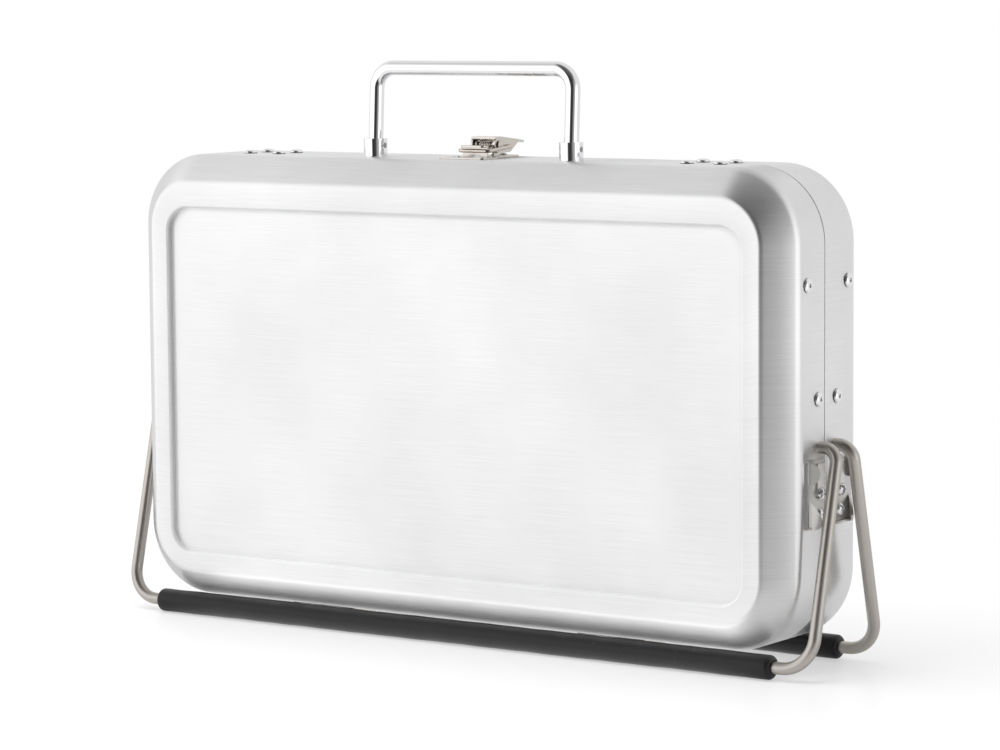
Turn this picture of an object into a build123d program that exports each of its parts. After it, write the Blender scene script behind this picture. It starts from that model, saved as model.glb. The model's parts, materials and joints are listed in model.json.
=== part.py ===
"""Briefcase grill, closed and standing on its two wire legs.

Millimetres. X runs along the width, -Y is the front, Z is up. The origin is on the floor under the
middle of the case. The two halves mirror each other about Y = 0, except that the parting line lies
in front of it, so the rear half is a little deeper. Pieces of both halves are drawn for the rear
half and turned over for the front one.
"""
from build123d import *
from math import acos, atan2, cos, degrees, hypot, radians, sin, sqrt, tan
import os

os.makedirs("parts", exist_ok=True)

# case
CASE_W = 425.0
CASE_H = 249.0
CASE_D = 86.0
PARTING_Y = -3.0
PARTING_GAP = 0.6
SHEET = 1.0
CORNER_R = 40.0
BEVEL = 15.5
BAND_FOLD_R = 9.0
RING_FOLD_R = 5.0
RING_SIDE = 10.5
RING_TOP = 13.6
RING_BOTTOM = 10.0
PANEL_SINK = 3.4
PANEL_CORNER_R = 14.0

# fits and gaps
RUNNING = 0.05
BODY_GAP = 0.35
SEAT_GAP = 0.2

# U legs and their rubber sleeves
LEG_ROD_D = 6.5
LEG_OFF_WALL = 10.2
LEG_PIVOT_Y = 7.7
LEG_PIVOT_UP = 105.8
LEG_TOP_BEND_R = 8.0
LEG_FOOT_BEND_R = 17.0
LEG_END_INSIDE = 5.0
FOOT_Y = 35.0
FOOT_BELOW_CASE = 5.0
SLEEVE_D = 13.2
SLEEVE_HALF_LENGTH = 201.0
SLEEVE_EDGE_R = 1.2
RETAINER_D = 12.0
RETAINER_T = 1.0

# leg brackets on the side walls
BRACKET_T = 1.2
BRACKET_INNER_Y = 5.6
BRACKET_OUTER_Y = 22.5
BRACKET_LOW = 65.0
BRACKET_HIGH = 100.0
TAB_REACH = 6.5
STOP_TAB_LEAN = 30.0
STOP_TAB_R = 5.6
STOP_TAB_UP = 93.6
LEAF_TAB_LEAN = 45.0
LEAF_TAB_HIGH = 81.0
LEAF_TAB_LOW = 65.0
LEAF_TIP_UP = 68.5
TONGUE_INNER_Y = 6.8
TONGUE_OUTER_Y = 13.8
TONGUE_RAISE = 0.8
LIP_OUT = 2.2
BRACKET_SCREW_Y = 10.3
BRACKET_SCREW_HIGH = 82.5
BRACKET_SCREW_LOW = 72.0
SCREW_D = 4.0
SCREW_HEAD_D = 6.7
SCREW_HEAD_H = 2.2
SCREW_NUT_ACROSS = 7.0
SCREW_NUT_H = 2.6
THREAD_PROUD = 0.5

# pop rivets
RIVET_D = 4.0
RIVET_HEAD_D = 7.4
RIVET_HEAD_H = 1.3
RIVET_BORE_D = 2.2
RIVET_TAIL_D = 5.8
RIVET_TAIL_H = 2.0

# cooking grid, its clips and the charcoal plate, depths measured from Y = 0
GRID_FRAME_D = 4.0
GRID_FRAME_Y = 15.5
GRID_EDGE_GAP = 3.5
GRID_CORNER_R = 34.0
GRID_BAR_D = 3.0
GRID_BAR_PITCH = 16.0
GRID_BAR_FROM_END = 8.0
GRID_BAR_PAST = 0.5
GRID_CROSS_UP = 60.0
CLIP_T = 1.0
CLIP_W = 34.0
CLIP_RIVET_PITCH = 20.0
CLIP_FROM_CORNER = 12.0
CLIP_RIM_Y = 4.2
CLIP_SHELF = 7.0
CLIP_SNAP = 3.2
CLIP_RIVET_Y = 8.0
SIDE_CLIP_W = 16.0
SIDE_CLIP_UP = 130.7
SIDE_RIVET_Y = 9.7
PLATE_CLEAR = 1.0
PLATE_HOLE_D = 8.0
PLATE_HOLE_PITCH = 28.0
PLATE_HOLE_FROM_EDGE = 14.0
PLATE_FOOT_D = 12.0
PLATE_FOOT_H = 3.1
LUG_W = 16.0
LUG_TOP_Y = 16.5
LUG_RIVET_Y = 21.0
LUG_RIVET_UP = 189.5

# carrying handle
HANDLE_ROD_D = 8.0
HANDLE_SPAN = 128.0
HANDLE_Y = -11.3
HANDLE_RISE = 48.5
HANDLE_BEND_R = 11.0
HANDLE_LEAN = 3.5
COLLAR_D = 12.9
COLLAR_H = 10.0
COLLAR_FLOOR = 1.8
COLLAR_PIN_UP = 6.2
COLLAR_PIN_D = 3.0
STUD_D = 5.0
STUD_NUT_ACROSS = 8.0
STUD_NUT_H = 3.0

# toggle latch, heights measured from the top of the case
KEEPER_W = 30.5
KEEPER_FRONT_Y = -22.0
KEEPER_T = 1.0
KEEPER_CORNER_R = 3.0
KEEPER_RIVET_Y = -16.2
KEEPER_RIVET_PITCH = 15.0
HOOK_W = 16.0
HOOK_T = 1.2
HOOK_LIP_FRONT_Y = -11.6
HOOK_LIP_CORNER_R = 2.5
HOOK_OVER_WIRE = 0.8
WIRE_D = 2.0
BAIL_BAR_Y = -9.5
BAIL_BAR_UP = 4.1
BAIL_SPAN = 20.6
BAIL_BEND_R = 3.0
BAIL_END_BEND_R = 1.5
BAIL_HOLE_Y = 12.0
BAIL_HOLE_UP = 6.0
BAIL_END_INSIDE = 0.8
LEVER_PIN_Y = 3.5
LEVER_PIN_UP = 7.0
LEVER_PIN_D = 3.0
LEVER_PIN_HEAD_D = 4.8
LEVER_PIN_HEAD_H = 0.6
LEVER_EYE_R = 4.5
LEVER_W = 16.0
LEVER_T = 1.2
LEVER_FOLD_R = 0.9
LEVER_FRONT_Y = -0.5
LEVER_BREAK_Y = 6.0
LEVER_FLANK_Y = 22.0
LEVER_FLANK_UP = 9.6
LEVER_BELLY_Y = 14.0
LEVER_BELLY_UP = 2.8
LEVER_TIP_Y = 35.0
LEVER_TIP_UP = 8.2
LEVER_TIP_W = 10.0
BASE_W = 18.0
BASE_T = 1.0
BASE_FRONT_Y = -2.2
BASE_REAR_Y = 22.5
EAR_T = 1.4
BASE_RIVET_FRONT_Y = 11.0
BASE_RIVET_REAR_Y = 18.5
LATCH_RIVET_D = 3.2
LATCH_RIVET_HEAD_D = 5.6
LATCH_RIVET_HEAD_H = 1.1
SPRING_WIRE_D = 0.8
SPRING_COIL_R = 2.4
SPRING_WHOLE_TURNS = 4
SPRING_GAP = 0.5
SPRING_START_ANGLE = 90.0
SPRING_UPPER_LEG = 4.0
SPRING_LOWER_LEG = 7.0

# bottom hinges
HINGE_FROM_CLIP = 10.5
HINGE_W = 42.0
HINGE_LEAF_T = 1.0
HINGE_LEAF_REACH = 20.0
HINGE_KNUCKLES = 5
HINGE_KNUCKLE_D = 5.0
HINGE_PIN_D = 2.6
HINGE_RIVET_PITCH = 26.0
HINGE_RIVET_REACH = 14.0

# places worked out from the sizes above
FOOT_Z = SLEEVE_D / 2
CASE_BOTTOM = FOOT_Z + FOOT_BELOW_CASE
CASE_TOP = CASE_BOTTOM + CASE_H
CASE_MID_Z = CASE_BOTTOM + CASE_H / 2
WALL_X = CASE_W / 2
INNER_X = WALL_X - SHEET
LEG_X = WALL_X + LEG_OFF_WALL
CLIP_X = WALL_X - CORNER_R - CLIP_W / 2 - CLIP_FROM_CORNER
HINGE_X = CLIP_X - (CLIP_W + HINGE_W) / 2 - HINGE_FROM_CLIP
LEG_PIVOT_Z = CASE_BOTTOM + LEG_PIVOT_UP
HINGE_Z = CASE_BOTTOM - HINGE_KNUCKLE_D / 2 - BODY_GAP
GRID_HALF_W = INNER_X - GRID_EDGE_GAP - GRID_FRAME_D / 2
GRID_HALF_H = CASE_H / 2 - SHEET - GRID_EDGE_GAP - GRID_FRAME_D / 2
GRID_BAR_Y = GRID_FRAME_Y - (GRID_FRAME_D + GRID_BAR_D) / 2
SHELF_Y = GRID_FRAME_Y + GRID_FRAME_D / 2 + SEAT_GAP
SNAP_Y = GRID_FRAME_Y - GRID_FRAME_D / 2 - SEAT_GAP - CLIP_T
INNER_FOLD_Y = CASE_D / 2 - BEVEL - SHEET * tan(radians(22.5))
PLATE_Y = CASE_D / 2 - PANEL_SINK - PLATE_FOOT_H - 2 * SHEET
HANDLE_PIN_Z = CASE_TOP + COLLAR_PIN_UP
LEVER_PIN_Z = CASE_TOP + LEVER_PIN_UP
FRONT, REAR = -1, 1
HALVES = {"front": FRONT, "rear": REAR}


def half_plane(side):
    """Plane on the rim of one half, with its normal pointing out of the case."""
    rim = PARTING_Y + side * PARTING_GAP / 2
    return Plane(origin=(0, rim, CASE_MID_Z), x_dir=(-side, 0, 0), z_dir=(0, side, 0))


def turned(side, shape):
    return shape if side == REAR else mirror(shape, about=Plane.XZ)


def both_ends(shape):
    """A shape drawn at the right end and its mirror image at the left end."""
    return [shape, mirror(shape, about=Plane.YZ)]


def rod(path, diameter):
    return sweep((path ^ 0) * Circle(diameter / 2), path=path)


def upright(diameter, height):
    return Cylinder(diameter / 2, height, align=(Align.CENTER, Align.CENTER, Align.MIN))


def block(low, high):
    """Box between two opposite corners."""
    size = [b - a for a, b in zip(low, high)]
    middle = [(a + b) / 2 for a, b in zip(low, high)]
    return Pos(*middle) * Box(*size)


def along(point, direction, shape):
    """Set a shape made on +Z at a point, with its +Z turned to a direction."""
    return Plane(origin=point, z_dir=direction) * shape


def drill(point, direction, diameter, reach=5.0):
    return along(point, direction, Cylinder(diameter / 2, 2 * reach))


def dome(diameter, height):
    """Low round head standing on z = 0."""
    radius = diameter / 2
    arc = ThreePointArc((radius, 0, 0), (radius * 0.75, 0, height * 0.72), (0, 0, height))
    base = Polyline((0, 0, height), (0, 0, 0), (radius, 0, 0))
    return revolve(make_face(Wire([arc, *base.edges()])), Axis.Z)


def pop_rivet(grip):
    """Hollow head above z = 0, shank through the grip and the set tail behind it."""
    body = dome(RIVET_HEAD_D, RIVET_HEAD_H) + Pos(0, 0, -grip) * upright(RIVET_D, grip)
    body += Pos(0, 0, -grip - RIVET_TAIL_H) * upright(RIVET_TAIL_D, RIVET_TAIL_H)
    return body - Pos(0, 0, RIVET_HEAD_H / 3) * upright(RIVET_BORE_D, RIVET_HEAD_H)


def latch_rivet(grip):
    """Ball-capped head above z = 0, shank, and a flat tail as wide and as high as the head."""
    head_r, head_h = LATCH_RIVET_HEAD_D / 2, LATCH_RIVET_HEAD_H
    ball_r = (head_r**2 + head_h**2) / (2 * head_h)
    slab = block((-ball_r, -ball_r, 0), (ball_r, ball_r, ball_r))
    body = Pos(0, 0, head_h - ball_r) * Sphere(ball_r) & slab
    body += Pos(0, 0, -grip) * upright(LATCH_RIVET_D, grip)
    return body + Pos(0, 0, -grip - head_h) * upright(LATCH_RIVET_HEAD_D, head_h)


def hex_nut(across, height, bore):
    return extrude(RegularPolygon(across / sqrt(3), 6), height) - upright(bore, height)


def cross_screw(length):
    """Pan head with a cross recess above z = 0, and the shank below it."""
    arm = Box(SCREW_HEAD_D * 0.6, SCREW_HEAD_D * 0.14, SCREW_HEAD_H)
    cross = arm + Rot(0, 0, 90) * arm
    head = dome(SCREW_HEAD_D, SCREW_HEAD_H) - Pos(0, 0, SCREW_HEAD_H) * cross
    return head + Pos(0, 0, -length) * upright(SCREW_D, length)


def save(name, *shapes):
    """Write one node, as one solid or as a group of separate solids."""
    solids = [solid for shape in shapes for solid in shape.solids()]
    export_step(solids[0] if len(solids) == 1 else Compound(children=solids), f"parts/{name}.step")


def leg_pivot(side, x):
    return (x, side * LEG_PIVOT_Y, LEG_PIVOT_Z)


def wall_clip_rivets(side):
    """Seat and outward direction of each grid clip rivet in the top and bottom walls."""
    offsets = (-CLIP_RIVET_PITCH / 2, CLIP_RIVET_PITCH / 2)
    return [
        ((clip_x + dx, side * CLIP_RIVET_Y, z), (0, 0, up))
        for z, up in ((CASE_TOP, 1), (CASE_BOTTOM, -1))
        for clip_x in (-CLIP_X, CLIP_X)
        for dx in offsets
    ]


def side_rivets(side, y, height):
    z = CASE_BOTTOM + height
    return [((x_sign * WALL_X, side * y, z), (x_sign, 0, 0)) for x_sign in (-1, 1)]


def clip_rivets(side):
    return wall_clip_rivets(side) + side_rivets(side, SIDE_RIVET_Y, SIDE_CLIP_UP)


def lug_rivets(side):
    return side_rivets(side, LUG_RIVET_Y, LUG_RIVET_UP)


def bracket_screws(side):
    """Seat under each screw head, outward direction, and the length from there to the wall."""
    seats = ((BRACKET_SCREW_HIGH, BRACKET_T + TONGUE_RAISE), (BRACKET_SCREW_LOW, BRACKET_T))
    return [
        ((x_sign * (WALL_X + stack), side * BRACKET_SCREW_Y, CASE_BOTTOM + up), (x_sign, 0, 0), stack)
        for x_sign in (-1, 1)
        for up, stack in seats
    ]


def hinge_rivets(side):
    """Seat and direction of each hinge rivet, its head below the leaf."""
    z = CASE_BOTTOM - HINGE_LEAF_T
    y = PARTING_Y + side * HINGE_RIVET_REACH
    offsets = (-HINGE_RIVET_PITCH / 2, HINGE_RIVET_PITCH / 2)
    return [((x_sign * HINGE_X + dx, y, z), (0, 0, -1)) for x_sign in (-1, 1) for dx in offsets]


def keeper_rivets():
    x = KEEPER_RIVET_PITCH / 2
    return [(x_sign * x, KEEPER_RIVET_Y, CASE_TOP + KEEPER_T) for x_sign in (-1, 1)]


def base_rivets():
    return [(0, y, CASE_TOP + BASE_T) for y in (BASE_RIVET_FRONT_Y, BASE_RIVET_REAR_Y)]


def collar_seats():
    return [(x_sign * HANDLE_SPAN / 2, HANDLE_Y, CASE_TOP) for x_sign in (-1, 1)]


def tray(inset, depth):
    """Closed body of one half: straight band, 45 degree bevel and flat ring, all set in by a wall."""
    width, height, corner = CASE_W - 2 * inset, CASE_H - 2 * inset, CORNER_R - inset
    bevel = BEVEL - inset + inset * tan(radians(22.5))
    band = extrude(RectangleRounded(width, height, corner), depth - bevel)
    foot = Pos(0, 0, depth - bevel) * RectangleRounded(width, height, corner)
    crown = RectangleRounded(width - 2 * bevel, height - 2 * bevel, corner - bevel)
    body = band + loft([foot, Pos(0, 0, depth) * crown], ruled=True)
    for level, radius in ((depth - bevel, BAND_FOLD_R), (depth, RING_FOLD_R)):
        fold = body.edges().filter_by_position(Axis.Z, level - 0.01, level + 0.01)
        body = fillet(fold, radius - inset)
    return body


def sunk_panel(grow, depth):
    """Block that sinks the panel into the ring, grown by a wall for the inside."""
    width = CASE_W - 2 * (BEVEL + RING_SIDE) + 2 * grow
    height = CASE_H - 2 * BEVEL - RING_TOP - RING_BOTTOM + 2 * grow
    outline = RectangleRounded(width, height, PANEL_CORNER_R + grow)
    sink = PANEL_SINK + grow
    return Pos(0, (RING_BOTTOM - RING_TOP) / 2, depth - sink) * extrude(outline, sink)


def shell(side):
    """Drawn sheet half, with the sunk panel and every hole in its walls."""
    depth = CASE_D / 2 - side * PARTING_Y - PARTING_GAP / 2
    outer = tray(0, depth) - sunk_panel(0, depth)
    inner = tray(SHEET, depth - SHEET) - sunk_panel(SHEET, depth)
    case = half_plane(side) * (outer - inner)
    for seat, direction in clip_rivets(side) + lug_rivets(side) + hinge_rivets(side):
        case -= drill(seat, direction, RIVET_D)
    for seat, direction, _ in bracket_screws(side):
        case -= drill(seat, direction, SCREW_D)
    for seat in keeper_rivets() if side == FRONT else base_rivets():
        case -= drill(seat, (0, 0, 1), LATCH_RIVET_D)
    for seat in collar_seats() if side == FRONT else ():
        case -= drill(seat, (0, 0, 1), STUD_D)
    for x in (-WALL_X, WALL_X):
        case -= drill(leg_pivot(side, x), (1, 0, 0), LEG_ROD_D + 2 * RUNNING)
    return case


def leg(side):
    """One bent rod: an end through each side wall, two arms and the straight foot."""
    end = leg_pivot(side, INNER_X - LEG_END_INSIDE)
    right = [end, leg_pivot(side, LEG_X), (LEG_X, side * FOOT_Y, FOOT_Z)]
    left = [(-x, y, z) for x, y, z in reversed(right)]
    bends = (LEG_TOP_BEND_R, LEG_FOOT_BEND_R, LEG_FOOT_BEND_R, LEG_TOP_BEND_R)
    return rod(FilletPolyline(*right, *left, radius=bends), LEG_ROD_D)


def sleeve(side):
    """Rubber tube on the straight foot, with rounded ends."""
    tube = Cylinder(SLEEVE_D / 2, 2 * SLEEVE_HALF_LENGTH)
    tube = fillet(tube.edges(), SLEEVE_EDGE_R) - Cylinder(LEG_ROD_D / 2, 2 * SLEEVE_HALF_LENGTH)
    return along((0, side * FOOT_Y, FOOT_Z), (1, 0, 0), tube)


def leg_retainers(side):
    """Push-on washers on the leg ends, just inside the side walls."""
    washer = upright(RETAINER_D, RETAINER_T) - upright(LEG_ROD_D, RETAINER_T)
    return both_ends(along(leg_pivot(side, INNER_X - BODY_GAP), (-1, 0, 0), washer))


def bracket_tab(outline, lean):
    """Tab cut to an outline of (reach, height) points, standing on the bracket's outer edge."""
    lean = radians(lean)
    face = Plane(
        origin=(WALL_X, BRACKET_OUTER_Y, CASE_BOTTOM),
        x_dir=(cos(lean), -sin(lean), 0),
        z_dir=(-sin(lean), -cos(lean), 0),
    )
    return face * extrude(outline, BRACKET_T)


def stop_tab():
    reach = TAB_REACH / cos(radians(STOP_TAB_LEAN))
    root = reach - STOP_TAB_R
    outline = Pos(root, STOP_TAB_UP) * Circle(STOP_TAB_R)
    outline += Pos(root / 2, STOP_TAB_UP) * Rectangle(root, 2 * STOP_TAB_R)
    outline -= Pos(-STOP_TAB_R, STOP_TAB_UP) * Rectangle(2 * STOP_TAB_R, 2 * STOP_TAB_R)
    return bracket_tab(outline, STOP_TAB_LEAN)


def leaf_tab():
    """Ear that slopes out going down, so that a leg folding in rides over it."""
    tip = TAB_REACH / cos(radians(LEAF_TAB_LEAN))
    middle = (LEAF_TAB_HIGH + LEAF_TIP_UP) / 2
    top = ThreePointArc((0, LEAF_TAB_HIGH), (tip * 0.68, middle), (tip, LEAF_TIP_UP))
    low = ThreePointArc((tip, LEAF_TIP_UP), (tip * 0.8, LEAF_TAB_LOW + 0.6), (tip * 0.4, LEAF_TAB_LOW))
    root = Polyline((tip * 0.4, LEAF_TAB_LOW), (0, LEAF_TAB_LOW), (0, LEAF_TAB_HIGH))
    return bracket_tab(make_face(Wire([top, low, *root.edges()])), LEAF_TAB_LEAN)


def brackets(side):
    """Plate on each side wall with a stop tab, a leaf tab, a raised tongue and a lower lip."""
    low, high = CASE_BOTTOM + BRACKET_LOW, CASE_BOTTOM + BRACKET_HIGH
    face = WALL_X + BRACKET_T
    inner, outer = BRACKET_INNER_Y, BRACKET_OUTER_Y
    plate = block((WALL_X, inner, low), (face, outer, high))
    plate = fillet(plate.edges().filter_by(Axis.X).sort_by(Axis.Z)[-2:], 2.0)
    plate += block((WALL_X, inner, low), (WALL_X + LIP_OUT, outer, low + BRACKET_T))
    tongue_y = (TONGUE_INNER_Y + TONGUE_OUTER_Y) / 2
    tongue_end = CASE_BOTTOM + BRACKET_SCREW_HIGH
    raised = face + TONGUE_RAISE
    plate += block((face, TONGUE_INNER_Y, tongue_end), (raised, TONGUE_OUTER_Y, high - 2.0))
    end = upright(TONGUE_OUTER_Y - TONGUE_INNER_Y, TONGUE_RAISE)
    plate += along((face, tongue_y, tongue_end), (1, 0, 0), end)
    tabs = stop_tab() + leaf_tab()
    margin = 2 * TAB_REACH
    plate += tabs - block((INNER_X - margin, 0, low - margin), (WALL_X, outer + margin, high + margin))
    for seat, direction, _ in bracket_screws(REAR):
        plate -= drill(seat, direction, SCREW_D)
    return [turned(side, shape) for shape in both_ends(plate)]


def bracket_fasteners(side):
    """Screws from outside and the nuts behind them, inside the side walls."""
    screws, nuts = [], []
    for seat, direction, stack in bracket_screws(side):
        grip = stack + SHEET
        screws.append(along(seat, direction, cross_screw(grip + SCREW_NUT_H + THREAD_PROUD)))
        nut = Pos(0, 0, -grip - SCREW_NUT_H) * hex_nut(SCREW_NUT_ACROSS, SCREW_NUT_H, SCREW_D)
        nuts.append(along(seat, direction, nut))
    return screws, nuts


def grid_frame(side):
    """Bent wire frame of the cooking grid."""
    outline = Wire(RectangleRounded(2 * GRID_HALF_W, 2 * GRID_HALF_H, GRID_CORNER_R).edges())
    path = Plane(origin=(0, side * GRID_FRAME_Y, CASE_MID_Z), z_dir=(0, side, 0), x_dir=(1, 0, 0)) * outline
    return rod(path, GRID_FRAME_D)


def bar_half_length(x):
    """Half length of a bar that ends on the frame's centre line at x."""
    past_corner = abs(x) - (GRID_HALF_W - GRID_CORNER_R)
    drop = GRID_CORNER_R - sqrt(GRID_CORNER_R**2 - max(past_corner, 0) ** 2)
    return GRID_HALF_H - drop + GRID_BAR_PAST


def grid_bars(side):
    """Straight wires welded across the frame, on its parting side."""
    each_way = int((GRID_HALF_W - GRID_BAR_FROM_END) / GRID_BAR_PITCH)
    bars = []
    for i in range(-each_way, each_way + 1):
        x = i * GRID_BAR_PITCH
        place = Pos(x, side * GRID_BAR_Y, CASE_MID_Z)
        bars.append(place * Cylinder(GRID_BAR_D / 2, 2 * bar_half_length(x)))
    return bars


def grid_cross_wires(side):
    wire = Rot(0, 90, 0) * Cylinder(GRID_FRAME_D / 2, 2 * GRID_HALF_W - GRID_FRAME_D)
    heights = (CASE_MID_Z - GRID_CROSS_UP, CASE_MID_Z + GRID_CROSS_UP)
    return [Pos(0, side * GRID_FRAME_Y, z) * wire for z in heights]


def grid_clips(side):
    """Channels on the top and bottom walls and ledges on the side walls that carry the frame."""
    ceiling = CASE_TOP - SHEET
    channel = block((-CLIP_W / 2, CLIP_RIM_Y, ceiling - CLIP_T), (CLIP_W / 2, SHELF_Y + CLIP_T, ceiling))
    channel += block((-CLIP_W / 2, SHELF_Y, ceiling - CLIP_SHELF), (CLIP_W / 2, SHELF_Y + CLIP_T, ceiling))
    channel += block((-CLIP_W / 2, SNAP_Y, ceiling - CLIP_SNAP), (CLIP_W / 2, SNAP_Y + CLIP_T, ceiling))
    channel = Pos(CLIP_X, 0, 0) * channel
    floor_channel = mirror(channel, about=Plane.XY.offset(CASE_MID_Z))
    low = CASE_BOTTOM + SIDE_CLIP_UP - SIDE_CLIP_W / 2
    high = low + SIDE_CLIP_W
    ledge = block((INNER_X - CLIP_T, CLIP_RIM_Y, low), (INNER_X, SHELF_Y + CLIP_T, high))
    ledge += block((INNER_X - CLIP_SHELF, SHELF_Y, low), (INNER_X, SHELF_Y + CLIP_T, high))
    clips = [piece for shape in (channel, floor_channel, ledge) for piece in both_ends(shape)]
    for seat, direction in clip_rivets(REAR):
        clips = [piece - drill(seat, direction, RIVET_D) for piece in clips]
    return [turned(side, piece) for piece in clips]


def charcoal_plate(side):
    """Perforated plate on pressed feet, with a lug riveted to each side wall."""
    inset = SHEET + PLATE_Y + SHEET - INNER_FOLD_Y + PLATE_CLEAR
    half_w, half_h = WALL_X - inset, CASE_H / 2 - inset
    outline = RectangleRounded(2 * half_w, 2 * half_h, CORNER_R - inset)
    pitch = PLATE_HOLE_PITCH
    across, up = (int((half - PLATE_HOLE_FROM_EDGE) / pitch) for half in (half_w, half_h))
    outline -= GridLocations(pitch, pitch, 2 * across + 1, 2 * up + 1) * Circle(PLATE_HOLE_D / 2)
    plate = extrude(outline, SHEET)
    for place in GridLocations((2 * across - 1) * pitch, (2 * up - 1) * pitch, 2, 2):
        plate += place * Pos(0, 0, SHEET) * upright(PLATE_FOOT_D, PLATE_FOOT_H)
    plate = Plane(origin=(0, PLATE_Y, CASE_MID_Z), z_dir=(0, 1, 0), x_dir=(1, 0, 0)) * plate
    bend_y = LUG_RIVET_Y + RIVET_TAIL_D / 2
    lug = make_face(Polyline(
        (INNER_X, LUG_TOP_Y), (INNER_X, bend_y), (half_w, PLATE_Y + SHEET), (half_w - 2, PLATE_Y + SHEET),
        (INNER_X - SHEET, bend_y), (INNER_X - SHEET, LUG_TOP_Y), close=True,
    ))
    lug = Pos(0, 0, CASE_BOTTOM + LUG_RIVET_UP - LUG_W / 2) * extrude(lug, LUG_W)
    for piece in both_ends(lug):
        plate += piece
    for seat, direction in lug_rivets(REAR):
        plate -= drill(seat, direction, RIVET_D)
    return turned(side, plate)


def hinge_leaves(side):
    """Leaf and knuckles of the two bottom hinges; the rear half has the outer knuckles."""
    step = HINGE_W / HINGE_KNUCKLES
    reach = PARTING_Y + side * HINGE_LEAF_REACH
    clear_y = PARTING_Y + side * (HINGE_KNUCKLE_D / 2 + 2 * BODY_GAP)
    low = CASE_BOTTOM - HINGE_LEAF_T
    y_low, y_high = sorted((clear_y, reach))
    leaf = block((-HINGE_W / 2, y_low, low), (HINGE_W / 2, y_high, CASE_BOTTOM))
    y_low, y_high = sorted((clear_y, PARTING_Y))
    bore = HINGE_PIN_D + (2 * RUNNING if side == FRONT else 0)
    for i in range(0 if side == REAR else 1, HINGE_KNUCKLES, 2):
        start = -HINGE_W / 2 + i * step
        first, last = start + BODY_GAP / 2, start + step - BODY_GAP / 2
        leaf += block((first, y_low, low), (last, y_high, CASE_BOTTOM))
        barrel = Rot(0, 90, 0) * Cylinder(HINGE_KNUCKLE_D / 2, last - first)
        leaf += Pos((first + last) / 2, PARTING_Y, HINGE_Z) * barrel
    leaf -= Pos(0, PARTING_Y, HINGE_Z) * Rot(0, 90, 0) * Cylinder(bore / 2, HINGE_W)
    leaves = [Pos(x, 0, 0) * leaf for x in (-HINGE_X, HINGE_X)]
    for seat, direction in hinge_rivets(side):
        leaves = [piece - drill(seat, direction, RIVET_D) for piece in leaves]
    return leaves


def hinge_pins():
    pin = Rot(0, 90, 0) * Cylinder(HINGE_PIN_D / 2, HINGE_W)
    return [Pos(x, PARTING_Y, HINGE_Z) * pin for x in (-HINGE_X, HINGE_X)]


def handle():
    """Bent rod with ball ends bored for the cross pins, leaning back a little."""
    x, top = HANDLE_SPAN / 2, CASE_TOP + HANDLE_RISE
    feet = [(-x, HANDLE_Y, HANDLE_PIN_Z), (x, HANDLE_Y, HANDLE_PIN_Z)]
    corners = [(-x, HANDLE_Y, top), (x, HANDLE_Y, top)]
    body = rod(FilletPolyline(feet[0], *corners, feet[1], radius=HANDLE_BEND_R), HANDLE_ROD_D)
    for foot in feet:
        body += Pos(*foot) * Sphere(HANDLE_ROD_D / 2)
        body -= drill(foot, (1, 0, 0), COLLAR_PIN_D + 2 * RUNNING)
    return body.rotate(Axis((0, HANDLE_Y, HANDLE_PIN_Z), (1, 0, 0)), -HANDLE_LEAN)


def collar():
    """Turned cylinder with a socket, a slot to the rear and a threaded stud below."""
    room = HANDLE_ROD_D + 2 * BODY_GAP
    body = upright(COLLAR_D, COLLAR_H)
    body -= Pos(0, 0, COLLAR_FLOOR) * upright(room, COLLAR_H)
    body -= block((-room / 2, 0, COLLAR_FLOOR), (room / 2, COLLAR_D, COLLAR_H))
    body -= Pos(0, 0, COLLAR_PIN_UP) * Rot(0, 90, 0) * Cylinder(COLLAR_PIN_D / 2, COLLAR_D)
    stud = SHEET + STUD_NUT_H + THREAD_PROUD
    return body + Pos(0, 0, -stud) * upright(STUD_D, stud)


def handle_mounting():
    """Collars, the nuts on their studs and the cross pins."""
    nut = Pos(0, 0, -SHEET - STUD_NUT_H) * hex_nut(STUD_NUT_ACROSS, STUD_NUT_H, STUD_D)
    pin_length = sqrt(COLLAR_D**2 - COLLAR_PIN_D**2)
    pin = Pos(0, 0, COLLAR_PIN_UP) * Rot(0, 90, 0) * Cylinder(COLLAR_PIN_D / 2, pin_length)
    return [[Pos(*seat) * shape for seat in collar_seats()] for shape in (collar(), nut, pin)]


def latch_keeper():
    """Riveted plate with a riser behind the bail's bar and a lip over it."""
    riser_y = BAIL_BAR_Y + WIRE_D / 2 + BODY_GAP
    lip_up = BAIL_BAR_UP + WIRE_D / 2 + HOOK_OVER_WIRE
    plate = block((-KEEPER_W / 2, KEEPER_FRONT_Y, 0), (KEEPER_W / 2, riser_y + HOOK_T, KEEPER_T))
    plate = fillet(plate.edges().filter_by(Axis.Z), KEEPER_CORNER_R)
    hook = block((-HOOK_W / 2, riser_y, 0), (HOOK_W / 2, riser_y + HOOK_T, lip_up + HOOK_T))
    lip = block((-HOOK_W / 2, HOOK_LIP_FRONT_Y, lip_up), (HOOK_W / 2, riser_y + HOOK_T, lip_up + HOOK_T))
    lip = fillet(lip.edges().filter_by(Axis.Z).sort_by(Axis.Y)[:2], HOOK_LIP_CORNER_R)
    body = Pos(0, 0, CASE_TOP) * (plate + hook + lip)
    for seat in keeper_rivets():
        body -= drill(seat, (0, 0, 1), LATCH_RIVET_D, 2 * KEEPER_T)
    return body


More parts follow.
